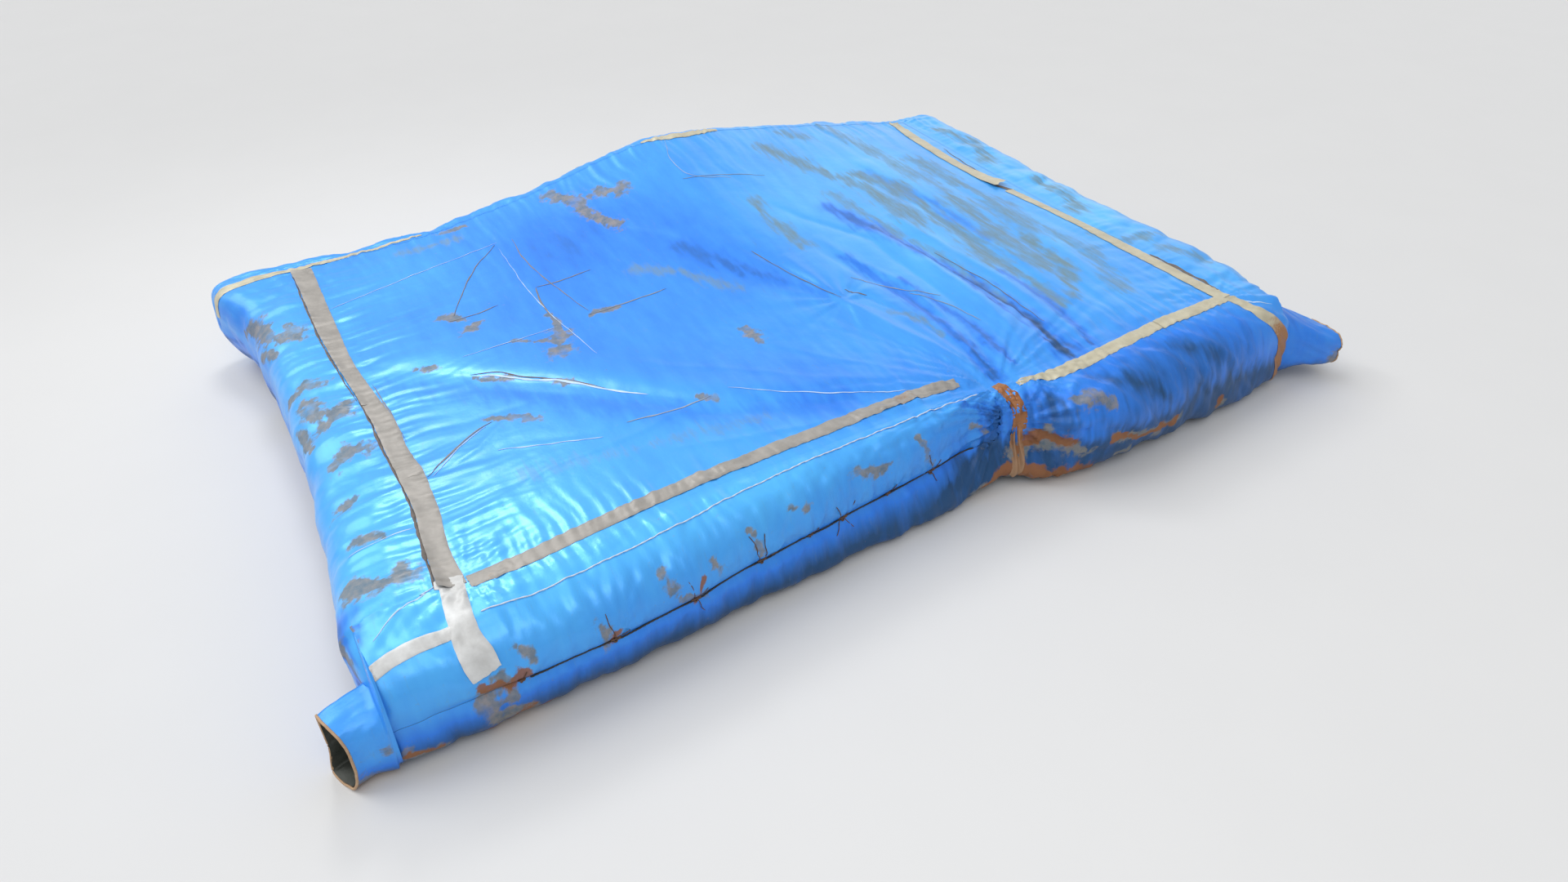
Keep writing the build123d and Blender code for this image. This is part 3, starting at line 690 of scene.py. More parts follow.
# Grey-green dust rubbed along the folds, as strokes on the plan: points, half width, strength.
DUST = [
    ([(0.50, 0.78), (0.60, 0.60), (0.72, 0.40), (0.75, 0.10)], 0.048, 0.9),
    ([(0.75, 0.50), (0.83, 0.37), (0.84, 0.00), (0.81, -0.24)], 0.046, 0.9),
    ([(0.81, -0.24), (0.83, -0.40), (0.82, -0.56)], 0.030, 0.9),
    ([(0.98, 0.20), (0.945, -0.13), (0.94, -0.34)], 0.055, 0.9),
    ([(1.02, -0.16), (1.00, -0.38), (0.88, -0.54)], 0.034, 1.0),
    ([(0.26, 0.43), (0.26, 0.26), (0.27, 0.13)], 0.036, 0.9),
    ([(0.62, 0.90), (0.71, 0.83)], 0.040, 0.8),
    ([(0.86, 0.92), (0.94, 0.70), (0.97, 0.40)], 0.045, 0.7),
    ([(1.06, 0.55), (1.10, 0.20), (1.08, -0.10)], 0.050, 0.8),
    ([(1.12, -0.10), (1.14, -0.35), (1.06, -0.58)], 0.040, 0.7),
    ([(0.92, 0.72), (0.96, 0.45), (1.00, 0.25)], 0.034, 0.7),
    ([(0.64, 0.00), (0.68, -0.21), (0.67, -0.45)], 0.020, 0.6),
    ([(0.56, 0.40), (0.60, 0.20), (0.62, 0.05)], 0.026, 0.7),
    ([(1.38, 0.80), (1.42, 0.60), (1.36, 0.45)], 0.040, 0.9),
    ([(1.40, 0.20), (1.41, 0.05), (1.36, -0.06)], 0.040, 0.9),
    ([(1.27, -0.25), (1.32, -0.35), (1.45, -0.36)], 0.030, 0.8),
    ([(1.40, -0.45), (1.46, -0.60)], 0.030, 0.8),
    ([(0.31, -0.35), (0.36, -0.43), (0.36, -0.52)], 0.016, 0.8),
    ([(-0.20, YB + 0.10), (-0.16, YB + 0.30)], 0.040, 0.7),
    ([(0.60, YB + 0.14), (0.66, YB + 0.34)], 0.045, 0.7),
    ([(-1.30, YB + 0.16), (-1.24, YB + 0.34)], 0.040, 0.6),
    ([(XR + 0.28, 0.34), (XR + 0.34, -0.02)], 0.040, 0.6),
    ([(-0.28, 0.30), (-0.16, 0.20), (-0.05, 0.02)], 0.026, 0.7),
    ([(-0.90, 0.86), (-0.70, 0.84)], 0.024, 0.7),
    ([(-0.95, -0.50), (-0.60, -0.55), (-0.30, -0.60)], 0.030, 0.4),
]
# Painted light on the film's blue: centre, half sizes, turn in degrees, and how much paler it is, as a
# painted highlight, or, below zero, how much deeper, as painted shade.
PAINTED_LIGHT_PATCHES = [
    ((0.85, 0.35), (0.50, 0.75), 0, 0.60),
    ((0.35, 0.45), (0.20, 0.40), 0, 0.45),
    ((-0.45, 0.30), (0.55, 0.42), -30, -0.90),
    ((-0.35, 0.66), (0.40, 0.22), -20, -0.50),
    ((-1.02, -0.66), (0.26, 0.16), 0, 0.90),
    ((-1.38, -0.70), (0.16, 0.16), 0, 0.60),
    ((0.02, 0.20), (0.16, 0.45), 20, -0.45),
    ((-0.25, -0.42), (0.50, 0.14), -35, -0.70),
    ((-1.05, 0.05), (0.20, 0.16), -30, 0.55),
    ((-0.55, -0.28), (0.45, 0.09), -42, 0.45),
    ((-1.00, 0.60), (0.30, 0.30), 0, 0.10),
    ((-0.85, -0.45), (0.40, 0.22), -20, 0.35),
    ((-1.35, -0.10), (0.12, 1.00), 0, 0.55),
    ((-0.70, -0.88), (0.80, 0.10), 0, 1.10),
    ((0.90, -0.98), (0.58, 0.18), 0, -1.80),
    ((1.40, 0.10), (0.14, 0.90), 0, 0.75),
    ((0.50, -0.55), (0.25, 0.22), 0, -0.35),
]
# Rust-brown stains, mostly low on the roll: points, half width, strength.
RUST = [
    ([(-0.70, YB + 0.44), (-0.40, YB + 0.46)], 0.016, 0.9),
    ([(0.52, YB + 0.45), (0.76, YB + 0.44)], 0.014, 0.9),
    ([(XR + 0.45, 0.20), (XR + 0.44, -0.05)], 0.014, 0.9),
] + on_roll([
    ([(-1.255, 0.46), (-1.20, 0.50), (-1.16, 0.49)], 0.016, 1.0),
    ([(-1.24, 0.72), (-1.18, 0.72), (-1.12, 0.70)], 0.026, 1.0),
    ([(0.37, 0.52), (0.43, 0.47), (0.50, 0.50)], 0.016, 1.0),
    ([(0.34, 0.60), (0.30, 0.72), (0.22, 0.80)], 0.022, 1.0),
    ([(0.37, 0.62), (0.45, 0.66), (0.58, 0.68)], 0.022, 1.0),
    ([(0.36, 0.74), (0.48, 0.78), (0.62, 0.80)], 0.024, 1.0),
    ([(0.62, 0.50), (0.76, 0.52), (0.90, 0.52)], 0.011, 1.0),
    ([(1.12, 0.55), (1.13, 0.60)], 0.016, 1.0),
    ([(-1.44, 0.62), (-1.36, 0.63)], 0.008, 0.9),
    ([(-0.72, 0.50), (-0.70, 0.44)], 0.008, 0.9),
    ([(-0.95, 0.50), (-0.93, 0.46)], 0.007, 0.8),
])
# Painted shade in the troughs, down the sides, along the back and under the roll: points, half width,
# strength.
PAINTED_SHADE_STROKES = [
    ([(0.50, 0.30), (0.58, 0.06), (0.65, -0.26), (0.67, -0.55), (0.64, -0.76)], 0.034, 0.85),
    ([(0.56, 0.14), (0.62, -0.10), (0.66, -0.40), (0.66, -0.66)], 0.016, 1.0),
    ([(0.36, 0.00), (0.40, -0.30), (0.40, -0.60), (0.38, -0.76)], 0.026, 0.60),
    ([(0.44, -0.20), (0.48, -0.48), (0.46, -0.74)], 0.016, 0.60),
    ([(0.80, 0.50), (0.88, 0.20), (0.89, -0.10)], 0.030, 0.45),
    ([(0.78, -0.30), (0.80, -0.52), (0.74, -0.78)], 0.018, 0.55),
    ([(-0.10, 0.34), (0.02, 0.10), (0.17, -0.15)], 0.030, 0.30),
    ([(-1.15, 0.08), (-0.90, -0.10), (-0.70, -0.28), (-0.40, -0.53), (-0.10, -0.66)], 0.050, 0.32),
    ([(-1.47, 0.90), (-1.44, 0.60)], 0.030, 0.30),
    ([(XL - 0.42, 0.95), (XL - 0.42, 0.40), (XL - 0.42, -0.70)], 0.085, 0.90),
    ([(XR + 0.45, 0.95), (XR + 0.45, 0.10), (XR + 0.45, -0.75)], 0.075, 0.75),
    ([(XL - 0.20, YB + 0.45), (0.0, YB + 0.45), (XR + 0.20, YB + 0.45)], 0.075, 0.75),
    ([(XL - 0.24, -0.76), (XL - 0.29, -0.84), (XL - 0.33, -0.93)], 0.040, 1.0),
    ([(0.20, YB + 0.06), (0.24, YB + 0.30)], 0.030, 0.35),
    ([(-0.62, YB + 0.10), (-0.56, YB + 0.34)], 0.026, 0.30),
    ([(0.86, YB + 0.08), (0.80, YB + 0.30)], 0.026, 0.30),
] + on_roll([
    ([(0.30, 0.30), (0.33, 0.60), (0.32, 0.95)], 0.055, 0.60),
    ([(0.46, 0.25), (0.44, 0.60), (0.46, 0.95)], 0.060, 0.55),
    ([(0.50, 0.55), (0.95, 0.58), (1.44, 0.55)], 0.080, 0.42),
    ([(0.18, 0.50), (0.28, 0.80)], 0.040, 0.45),
    ([(0.60, 0.12), (0.78, 0.30), (0.86, 0.46)], 0.022, 0.25),
    ([(0.96, 0.14), (1.10, 0.32), (1.20, 0.50)], 0.024, 0.25),
    ([(0.20, 0.10), (0.28, 0.30), (0.34, 0.42)], 0.014, 0.60),
    ([(0.08, 0.60), (0.22, 0.52), (0.34, 0.44)], 0.014, 0.60),
])


STAIN_SEED, DUST_SEED, PAINTED_SHADE_SEED, RUST_SEED = 61, 66, 81, 91
BLOTS, STREAKS = (26, 26), (46, 7)  # grain of the edges of the strokes, across and along the folds


def strokes(a, b, rows, seed, grain=BLOTS):
    """Soft painted strokes at plan points, before the film's material frays their edges."""
    wander_a, wander_b = wandered(a, b, (0.014, 22), (0.008, 60), seed)
    across, along_b = grain
    ragged = noise(a * across, b * along_b, seed + 5)
    ragged = ragged + 0.6 * noise(a * across * 2.9, b * along_b * 2.9, seed + 6)
    # The same strokes draw dirt and painted shade.
    dirt_and_shade = np.zeros(np.shape(a))
    for points, width, strength in rows:
        d, along = line_distance(wander_a, wander_b, points)
        d = np.maximum(d + 1.1 * width * ragged, 0)
        width = width * (0.95 + 0.7 * noise(along * 3 + width * 90, 0.5, seed + 4))
        dirt_and_shade = np.maximum(dirt_and_shade, strength * bell(d, np.maximum(width, 0.002)))
    return dirt_and_shade


def haze(a, b):
    """How pale the film's blue is at plan points, from 0 to 1: a random tone, with painted highlights and
    painted shade.
    """
    pale = 0.4 * noise(a * 1.6, b * 1.6, 71)
    for (x, y), (half_x, half_y), turn, strength in PAINTED_LIGHT_PATCHES:
        c, s = math.cos(math.radians(turn)), math.sin(math.radians(turn))
        u, v = ((a - x) * c + (b - y) * s) / half_x, ((b - y) * c - (a - x) * s) / half_y
        pale = pale + strength * np.exp(-(u * u + v * v))
    # Painted shade: the strokes above, and darker down the lower half of the front roll.
    painted_shade = strokes(a, b, PAINTED_SHADE_STROKES, PAINTED_SHADE_SEED, STREAKS) + smooth_step(roll_b(0.45), roll_b(0.68), b)
    return np.clip(0.68 + 0.32 * pale - 0.68 * painted_shade, 0, 1)


# ---- materials ----
FRAY = 1.5  # how far the noise eats into the edges of dust, stains and rust


class Shader:
    """A material's node tree, with short ways to add and join nodes."""

    def __init__(self, name):
        self.material = bpy.data.materials.new(name)
        self.material.use_nodes = True
        self.tree = self.material.node_tree
        self.surface = self.tree.nodes["Principled BSDF"]

    def add(self, kind, inputs=None, **settings):
        node = self.tree.nodes.new("ShaderNode" + kind)
        for key, value in settings.items():
            setattr(node, key, value)
        for key, value in (inputs or {}).items():
            self.put(node.inputs[key], value)
        return node

    def put(self, socket, value):
        if isinstance(value, bpy.types.NodeSocket):
            self.tree.links.new(value, socket)
        else:
            socket.default_value = value

    def stored(self, name, output="Fac"):
        """A value that store() keeps on the mesh."""
        return self.add("Attribute", attribute_name=name).outputs[output]

    def math(self, operation, first, second=0.0, clamp=False):
        return self.add("Math", {0: first, 1: second}, operation=operation, use_clamp=clamp).outputs[0]

    def sway(self, value, grain, by, clamp=False):
        """A value moved up and down by a noise round its middle."""
        swing = self.math("MULTIPLY", self.math("SUBTRACT", grain, 0.5), by)
        return self.math("ADD", value, swing, clamp)

    def mix(self, factor, first, second):
        """A mix of two colours, given as links or as plain red, green and blue."""
        first, second = [(*c, 1) if isinstance(c, tuple) else c for c in (first, second)]
        node = self.add("Mix", {"Factor": factor}, data_type="RGBA")
        self.put(node.inputs[6], first)
        self.put(node.inputs[7], second)
        return node.outputs[2]

    def blend(self, factor, first, second):
        return self.add("Mix", {"Factor": factor, "A": first, "B": second}, data_type="FLOAT").outputs[0]

    def noise(self, at, scale, detail=3.0, rough=0.55, **settings):
        inputs = {"Vector": at, "Scale": scale, "Detail": detail, "Roughness": rough}
        return self.add("TexNoise", inputs, **settings).outputs[0]

    def stretched(self, at, scale, turn=0.0):
        inputs = {"Vector": at, "Scale": scale, "Rotation": (0, 0, turn)}
        return self.add("Mapping", inputs).outputs[0]

    def ramp(self, value, low, high):
        return self.add("MapRange", {"Value": value, "From Min": low, "From Max": high}).outputs[0]

    def bump(self, height, distance, strength, before=None):
        node = self.add("Bump", {"Height": height, "Distance": distance, "Strength": strength})
        if before:
            self.put(node.inputs["Normal"], before)
        return node.outputs[0]

    def finished(self, **inputs):
        """The material, with its surface's inputs set; their names have _ for each space."""
        for name, value in inputs.items():
            self.put(self.surface.inputs[name.replace("_", " ")], value)
        return self.material


def film_material():
    """Glossy blue film: blues from a navy of painted shade to a pale blue of painted highlight, with a random
    tone between, fine crinkles, rubbed-in dust and frayed tan dirt.
    """
    s = Shader("blue_film")
    plan = s.stored("plan", "Vector")
    cloud = s.noise(plan, 2.5, 4.0)
    streak = s.noise(s.stretched(plan, (22, 5, 1), 0.12), 1.0, 4.0, 0.6)
    tone = s.sway(s.stored("haze"), streak, 0.34)
    tone = s.sway(tone, cloud, 0.40, clamp=True)
    # The navy end is painted shade and the pale end a painted highlight.
    blue = s.mix(s.ramp(tone, 0.0, 0.35), (0.007, 0.066, 0.19), (0.022, 0.215, 0.83))
    blue = s.mix(s.ramp(tone, 0.35, 1.0), blue, (0.085, 0.480, 0.99))

    rubbed = s.noise(s.stretched(plan, (70, 11, 1), 0.12), 1.0, 6.0, 0.75)
    dust = s.ramp(s.sway(s.stored("dust"), rubbed, FRAY), 0.12, 1.10)
    blue = s.mix(dust, blue, (0.16, 0.27, 0.33))

    fray = s.noise(plan, 55.0, 6.0, 0.7)
    mask = s.ramp(s.sway(s.stored("stain"), fray, FRAY), 0.18, 0.58)
    mask = s.math("MULTIPLY", mask, s.ramp(s.noise(plan, 12.0, 4.0, 0.6), 0.10, 0.48))
    rusty = s.ramp(s.sway(s.stored("rust"), fray, FRAY), 0.30, 0.64)
    tan = s.mix(s.ramp(s.noise(plan, 30.0, 6.0, 0.7), 0.35, 0.65), (0.10, 0.145, 0.175), (0.29, 0.255, 0.21))
    colour = s.mix(s.math("MULTIPLY", mask, 0.90), blue, tan)
    colour = s.mix(s.math("MULTIPLY", rusty, 0.92), colour, (0.27, 0.100, 0.026))
    mask = s.math("MAXIMUM", mask, rusty)
    rough = s.blend(dust, s.blend(tone, 0.52, 0.30), 0.60)

    crease = s.noise(s.stretched(plan, (1, 1, 1), 0.3), 9.0, 5.0, 0.55, noise_type="RIDGED_MULTIFRACTAL")
    crinkle = s.noise(plan, 45.0, 5.0, 0.6)
    normal = s.bump(crease, 0.0016, 0.8)
    normal = s.bump(crinkle, 0.0010, 0.6, normal)
    normal = s.bump(mask, 0.0004, 0.5, normal)
    return s.finished(Base_Color=colour, Roughness=s.blend(mask, rough, 0.72),
                      Metallic=s.blend(mask, 0.20, 0.0), Specular_IOR_Level=0.4,
                      Coat_Weight=0.18, Coat_Roughness=0.18, Normal=normal)


def tape_material(name, pale, dark, brown):
    """Cloth tape: a fine weave, creases across it, brown stain where it is worn, and brown as painted shade
    where it runs down the front.
    """
    s = Shader(name)
    plan = s.stored("plan", "Vector")
    blot = s.noise(plan, 14.0, 5.0, 0.65)
    colour = s.mix(s.ramp(blot, 0.3, 0.7), dark, pale)
    rust = s.sway(s.stored("rust"), s.noise(plan, 60.0, 5.0, 0.7), 1.0)
    colour = s.mix(s.ramp(rust, 0.35, 0.75), colour, brown)
    threads = {"Vector": plan, "Scale": 260.0}
    weave = s.add("TexWave", threads, wave_type="BANDS", bands_direction="X").outputs[1]
    weft = s.add("TexWave", threads, wave_type="BANDS", bands_direction="Y").outputs[1]
    normal = s.bump(s.math("MULTIPLY", weave, weft), 0.0002, 0.4)
    normal = s.bump(s.noise(plan, 70.0, 4.0), 0.0008, 0.6, normal)
    return s.finished(Base_Color=colour, Roughness=s.blend(blot, 0.28, 0.52), Metallic=0.12, Normal=normal)


def simple_material(name, light, dark, scale, rough, bump):
    """A matt mottled stuff, such as cord, string or foam."""
    s = Shader(name)
    at = s.add("TexCoord").outputs["Object"]
    mottle = s.noise(at, scale, 5.0, 0.65)
    return s.finished(Base_Color=s.mix(mottle, dark, light),
                      Roughness=s.blend(mottle, rough, min(rough + 0.2, 1.0)),
                      Normal=s.bump(s.noise(at, scale * 2, 3.0), bump, 0.8))


def light_and_shade_material():
    """Painted shade in creases and beside tapes, mottled dark grey to brown, and painted highlights along
    fold crests.
    """
    s = Shader("painted_light_and_shade_lines")
    at = s.add("TexCoord").outputs["Object"]
    mottle = s.noise(at, 70.0, 4.0, 0.7)
    dirt_and_shade = s.mix(mottle, (0.045, 0.050, 0.060), (0.24, 0.19, 0.15))
    pale = s.mix(mottle, (0.34, 0.62, 0.98), (0.74, 0.82, 0.90))
    tone = s.stored("tone")
    return s.finished(Base_Color=s.mix(tone, dirt_and_shade, pale), Roughness=s.blend(tone, 0.65, 0.35),
                      Normal=s.bump(s.noise(at, 240.0, 3.0), 0.0004, 0.7))


FILM = film_material()
LIGHT_AND_SHADE_FILM = light_and_shade_material()
TAPE_PALE = tape_material("cloth_tape", (0.40, 0.375, 0.345), (0.26, 0.245, 0.225), (0.30, 0.15, 0.06))
# Pale grey tape made near-white: a painted highlight where the tapes meet at the front-left corner.
TAPE_HIGHLIT = tape_material("highlit_silver_tape", (0.70, 0.71, 0.71), (0.46, 0.46, 0.45), (0.26, 0.17, 0.09))
TAPE_GOLD = tape_material("gold_tape", (0.60, 0.56, 0.42), (0.44, 0.40, 0.29), (0.34, 0.15, 0.05))
# The tape's brown copy, for the cinch band down the front roll: painted shade.
TAPE_SHADED = tape_material("shaded_brown_tape", (0.42, 0.26, 0.15), (0.30, 0.16, 0.08), (0.34, 0.13, 0.04))
RIM = simple_material("tan_rim", (0.62, 0.42, 0.25), (0.30, 0.17, 0.09), 60.0, 0.5, 0.0006)
CORD = simple_material("dark_cord", (0.06, 0.05, 0.045), (0.02, 0.018, 0.016), 400.0, 0.6, 0.0006)
TIE = simple_material("brown_tie", (0.20, 0.10, 0.055), (0.05, 0.032, 0.024), 60.0, 0.6, 0.0006)
STRING = simple_material("pale_string", (0.72, 0.78, 0.86), (0.45, 0.55, 0.70), 300.0, 0.5, 0.0003)
FOAM = simple_material("open_foam", (0.62, 0.58, 0.38), (0.46, 0.42, 0.26), 220.0, 0.85, 0.0008)
# Dark olive for the sleeve's inside: its brownish film darkened as painted shade.
SHADE_LINING = simple_material("painted_shade_lining", (0.060, 0.068, 0.055), (0.025, 0.028, 0.024), 26.0, 0.45, 0.0015)


def finish_piece(piece, material, slot, *nodes):
    """Give a piece its material, hang it on the root body, and hide the nodes of the frame that it replaces.
    Its slot is not used.
    """
    piece.data.materials.append(material)
    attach(piece, "root")
    if nodes:
        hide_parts(*nodes)


# ---- the sheets of the wrap ----
LAP = 0.030  # how far the top sheet runs on under the margins
BUTT = 0.004  # how far the sheets run on past a line where they meet
SEAM_GAP = 0.0004  # half the gap that the lacing closes
SIDE_B = (YF - FRONT_CLOSE, YB + 0.10)  # the ends of the side margins on the plan
FLOOR_B, TOP_B = YF - ROLL_PLAN, YF + 0.001  # the low and the high edge of the roll's sheets
TOP_LIFT = -0.0006  # the top sheet lies a little under the margins
WRAP_FILMS = [
    ("top_film", wrap_base, (XL - LAP, XR + LAP), (YF - BUTT, YB + LAP), TOP_LIFT),
    ("left_margin_film", wrap_base, (XL - MARGIN_PLAN, XL + BUTT), SIDE_B, 0.0),
    ("right_margin_film", wrap_base, (XR - BUTT, XR + MARGIN_PLAN), SIDE_B, 0.0),
    ("back_margin_film", wrap_base, (XL - MARGIN_PLAN, XR + MARGIN_PLAN), (YB - BUTT, YB + MARGIN_PLAN), 0.0),
    ("front_upper_film", roll_base, (ROLL_LEFT, CINCH_X), (SEAM_B + SEAM_GAP, TOP_B), 0.0),
    ("front_lower_film", roll_base, (ROLL_LEFT, CINCH_X), (FLOOR_B, SEAM_B - SEAM_GAP), 0.0),
    ("front_right_film", roll_base, (CINCH_X - 0.003, ROLL_RIGHT), (FLOOR_B, TOP_B), 0.0),
]
for name, base, a_ends, b_ends, lift in WRAP_FILMS:
    finish_piece(film(name, base, a_ends, b_ends, lift), FILM, "sheet", name.replace("film", "sheet"))


# ---- tapes: rows of a, b, width and, where it is not 0, peel ----
# A tape draws on its seed and on the five after it.
LEFT_TAPE = [
    (-1.212, 0.925, 0.060), (-1.221, 0.70, 0.062), (-1.228, 0.48, 0.062), (-1.228, 0.28, 0.052),
    (-1.217, 0.10, 0.050), (-1.205, -0.05, 0.058), (-1.207, -0.24, 0.058)
]
tape("left_tape_back", 201, LEFT_TAPE[:5] + [(-1.212, 0.02, 0.052)], TAPE_PALE, curl=0.006)
tape("left_tape_middle", 207, [(-1.214, 0.05, 0.052)] + LEFT_TAPE[5:] + [(-1.203, -0.36, 0.062, 0.001)],
     TAPE_PALE, lift=0.0028, curl=0.006)
tape("left_tape_front", 213, [
    (-1.203, -0.33, 0.064, 0.002), (-1.205, -0.42, 0.060), (-1.209, -0.51, 0.055), (-1.220, -0.60, 0.051),
    (-1.230, -0.72, 0.050), (-1.231, -0.80, 0.056)
], TAPE_PALE, curl=0.007)
# Near-white as a painted highlight, with a brown patch lower down that is painted shade.
tape("left_tape_down", 219, [
    (-1.232, -0.77, 0.058), (-1.240, -0.82, 0.056), (-1.250, roll_b(0.14), 0.058),
    (-1.252, roll_b(0.24), 0.066), (-1.246, roll_b(0.33), 0.074, 0.001),
    (-1.238, roll_b(0.41), 0.070, 0.002)
], TAPE_HIGHLIT, lift=0.0032, rust=[(0.27, 0.035, 0.42)])
# Near-white as a painted highlight, with a brown patch that is painted shade.
tape("left_end_tape", 225, [
    (-1.270, roll_b(0.17), 0.030), (-1.330, roll_b(0.175), 0.034), (-1.400, roll_b(0.185), 0.036),
    (-1.457, roll_b(0.21), 0.036)
], TAPE_HIGHLIT, rust=[(0.19, 0.02, 0.5)])
tape("front_tape_left", 231, [
    (-1.200, -0.800, 0.040), (-1.070, -0.795, 0.044), (-0.90, -0.775, 0.046), (-0.715, -0.755, 0.046),
    (-0.45, -0.740, 0.044), (-0.22, -0.732, 0.046), (0.05, -0.727, 0.044), (0.25, -0.738, 0.036)
], TAPE_PALE, crease=0.0022, rust=[(1.28, 0.06, 0.45), (0.05, 0.03, 0.3)])
tape("front_tape_right_inner", 237, [
    (0.405, -0.850, 0.034), (0.50, -0.846, 0.040), (0.695, -0.832, 0.042), (0.90, -0.815, 0.044),
    (1.03, -0.806, 0.046, 0.001)
], TAPE_GOLD, crease=0.0014)
tape("front_tape_right_outer", 243, [
    (0.99, -0.808, 0.048, 0.001), (1.15, -0.803, 0.048), (1.30, -0.800, 0.046)
], TAPE_GOLD, lift=0.0032, crease=0.0014)
tape("right_tape_back", 249, [
    (1.235, 0.935, 0.044), (1.215, 0.75, 0.050), (1.204, 0.57, 0.050), (1.212, 0.40, 0.054),
    (1.222, 0.28, 0.066, 0.004), (1.228, 0.215, 0.060, 0.014)
], TAPE_GOLD, lift=0.0032, torn=0.012)
tape("right_tape_front", 255, [
    (1.232, 0.175, 0.046), (1.248, 0.04, 0.044), (1.264, -0.10, 0.046), (1.277, -0.30, 0.048),
    (1.288, -0.50, 0.050), (1.297, -0.68, 0.050), (1.302, -0.80, 0.054, 0.001)
], TAPE_GOLD)
# Its brown middle, down the front of the roll, is painted shade.
tape("right_tape_down", 261, [
    (1.300, -0.785, 0.040), (1.318, -0.83, 0.040), (1.350, roll_b(0.18), 0.044),
    (1.390, roll_b(0.30), 0.048), (1.420, roll_b(0.42), 0.050), (1.438, roll_b(0.56), 0.050),
    (1.442, roll_b(0.72), 0.046, 0.001)
], TAPE_GOLD, "stained_tape", rust=[(0.33, 0.13, 1.2)])
tape("back_edge_tape", 267, [
    (-1.500, YB + 0.004, 0.052), (-1.36, YB + 0.006, 0.050), (-1.18, YB + 0.014, 0.044),
    (-1.00, YB + 0.022, 0.036), (-0.80, YB + 0.034, 0.024)
], TAPE_GOLD)
tape("crown_tape", 273, [
    (0.06, YB + 0.012, 0.024), (0.14, YB + 0.000, 0.042), (0.26, YB - 0.004, 0.044),
    (0.38, YB + 0.004, 0.026)
], TAPE_GOLD)
# The cinch band is brown all down the roll, browner in its middle: painted shade.
tape("cinch_band", 279, [
    (0.352, -0.790, 0.030), (0.358, -0.83, 0.036), (0.366, roll_b(0.20), 0.038),
    (0.376, roll_b(0.34), 0.036), (0.374, roll_b(0.48), 0.034), (0.362, roll_b(0.62), 0.030),
    (0.352, roll_b(0.76), 0.026, 0.001)
], TAPE_SHADED, "stained_tape", crease=0.0018, rust=[(0.14, 0.20, 0.9)])


# ---- painted lines of light and shade ----
def painted_line_part(points_on_plan, width, seed):
    """A narrow strip that lies on the film and thins to nothing at its ends."""
    along, (a, b) = smooth_path(points_on_plan, PAINTED_LINE_STEP)
    a = a + 0.004 * noise(along * 18, 0.5, seed)
    b = b + 0.004 * noise(along * 18, 3.5, seed)
    share = along / along[-1]
    half = 0.5 * width * (4 * share * (1 - share)) ** 0.4 * (1 + 0.9 * noise(along * 30, 7.5, seed))
    turn_a, turn_b = np.gradient(a, along), np.gradient(b, along)
    size = np.hypot(turn_a, turn_b)
    u = np.linspace(-1, 1, 5)[None]
    plan_a = a[:, None] - (turn_b / size * half)[:, None] * u
    plan_b = b[:, None] + (turn_a / size * half)[:, None] * u
    points = lifted(mat_base, plan_a, plan_b, 0.0003 + 0.0009 * (1 - u * u))
    return points.reshape(-1, 3), grid_faces(*plan_a.shape)


PAINTED_LINE_SEED = 500
painted_line_parts = [painted_line_part(points, width, PAINTED_LINE_SEED + i) for i, (points, width, _) in enumerate(LIGHT_AND_SHADE_LINES)]
painted_lines = join_parts("film_painted_lines", painted_line_parts)
tones = [np.full(len(part[0]), row[2]) for part, row in zip(painted_line_parts, LIGHT_AND_SHADE_LINES)]
store(painted_lines, "tone", np.concatenate(tones))
finish_piece(painted_lines, LIGHT_AND_SHADE_FILM, "sheet")

# ---- lacing and string ----
LACE_RADIUS, TIE_RADIUS, KNOT_RADIUS, STRING_RADIUS = 0.0021, 0.0011, 0.0022, 0.0016
# Points of the lacing: a, and how far it wanders from its line.
SEAM_WANDER = [
    (-1.150, -0.001), (-1.02, 0.003), (-0.93, -0.002), (-0.80, 0.001), (-0.70, -0.002), (-0.60, 0.002),
    (-0.50, -0.002), (-0.41, 0.001), (-0.30, -0.002), (-0.20, 0.002), (-0.08, -0.001), (0.02, 0.001),
    (0.12, 0), (0.235, 0.002)
]
SEAM_ROWS = [(a, SEAM_B + off) for a, off in SEAM_WANDER]
lacing = cord_on_plan(SEAM_ROWS, LACE_RADIUS, 0.0022, lobes=3, twist=520.0)
cord = make_mesh("seam_lacing", *lacing)
finish_piece(cord, CORD, "seam_cord", "seam_cord")

random = np.random.default_rng(7)  # for the sway of the ties, drawn in the order that they are made in


def tie(x, b, lean, reach):
    """One short tie of the lacing: from its knot it curves up over the roll and thins to nothing."""
    sway = 0.006 * (random.random() - 0.5)
    rows = [(x, b), (x + lean * 0.25 + sway, b + reach * 0.3), (x + lean * 0.6 - sway, b + reach * 0.65),
            (x + lean, b + reach)]
    return cord_on_plan(rows, TIE_RADIUS, 0.0012, lobes=2, twist=700.0, sides=8)


def knot(x, b, size):
    """A small overhand knot that lies on the lacing."""
    turn = np.linspace(0, 2 * math.pi, 90)
    rows_a = x + size * (np.sin(turn) + 1.6 * np.sin(2 * turn)) * 0.50
    rows_b = b + size * (np.cos(turn) - 1.6 * np.cos(2 * turn)) * 0.22
    lift = 0.0032 + 0.0018 * np.sin(3 * turn)
    return tube(lifted(mat_base, rows_a, rows_b, lift), KNOT_RADIUS, lobes=2, twist=500.0, sides=8)


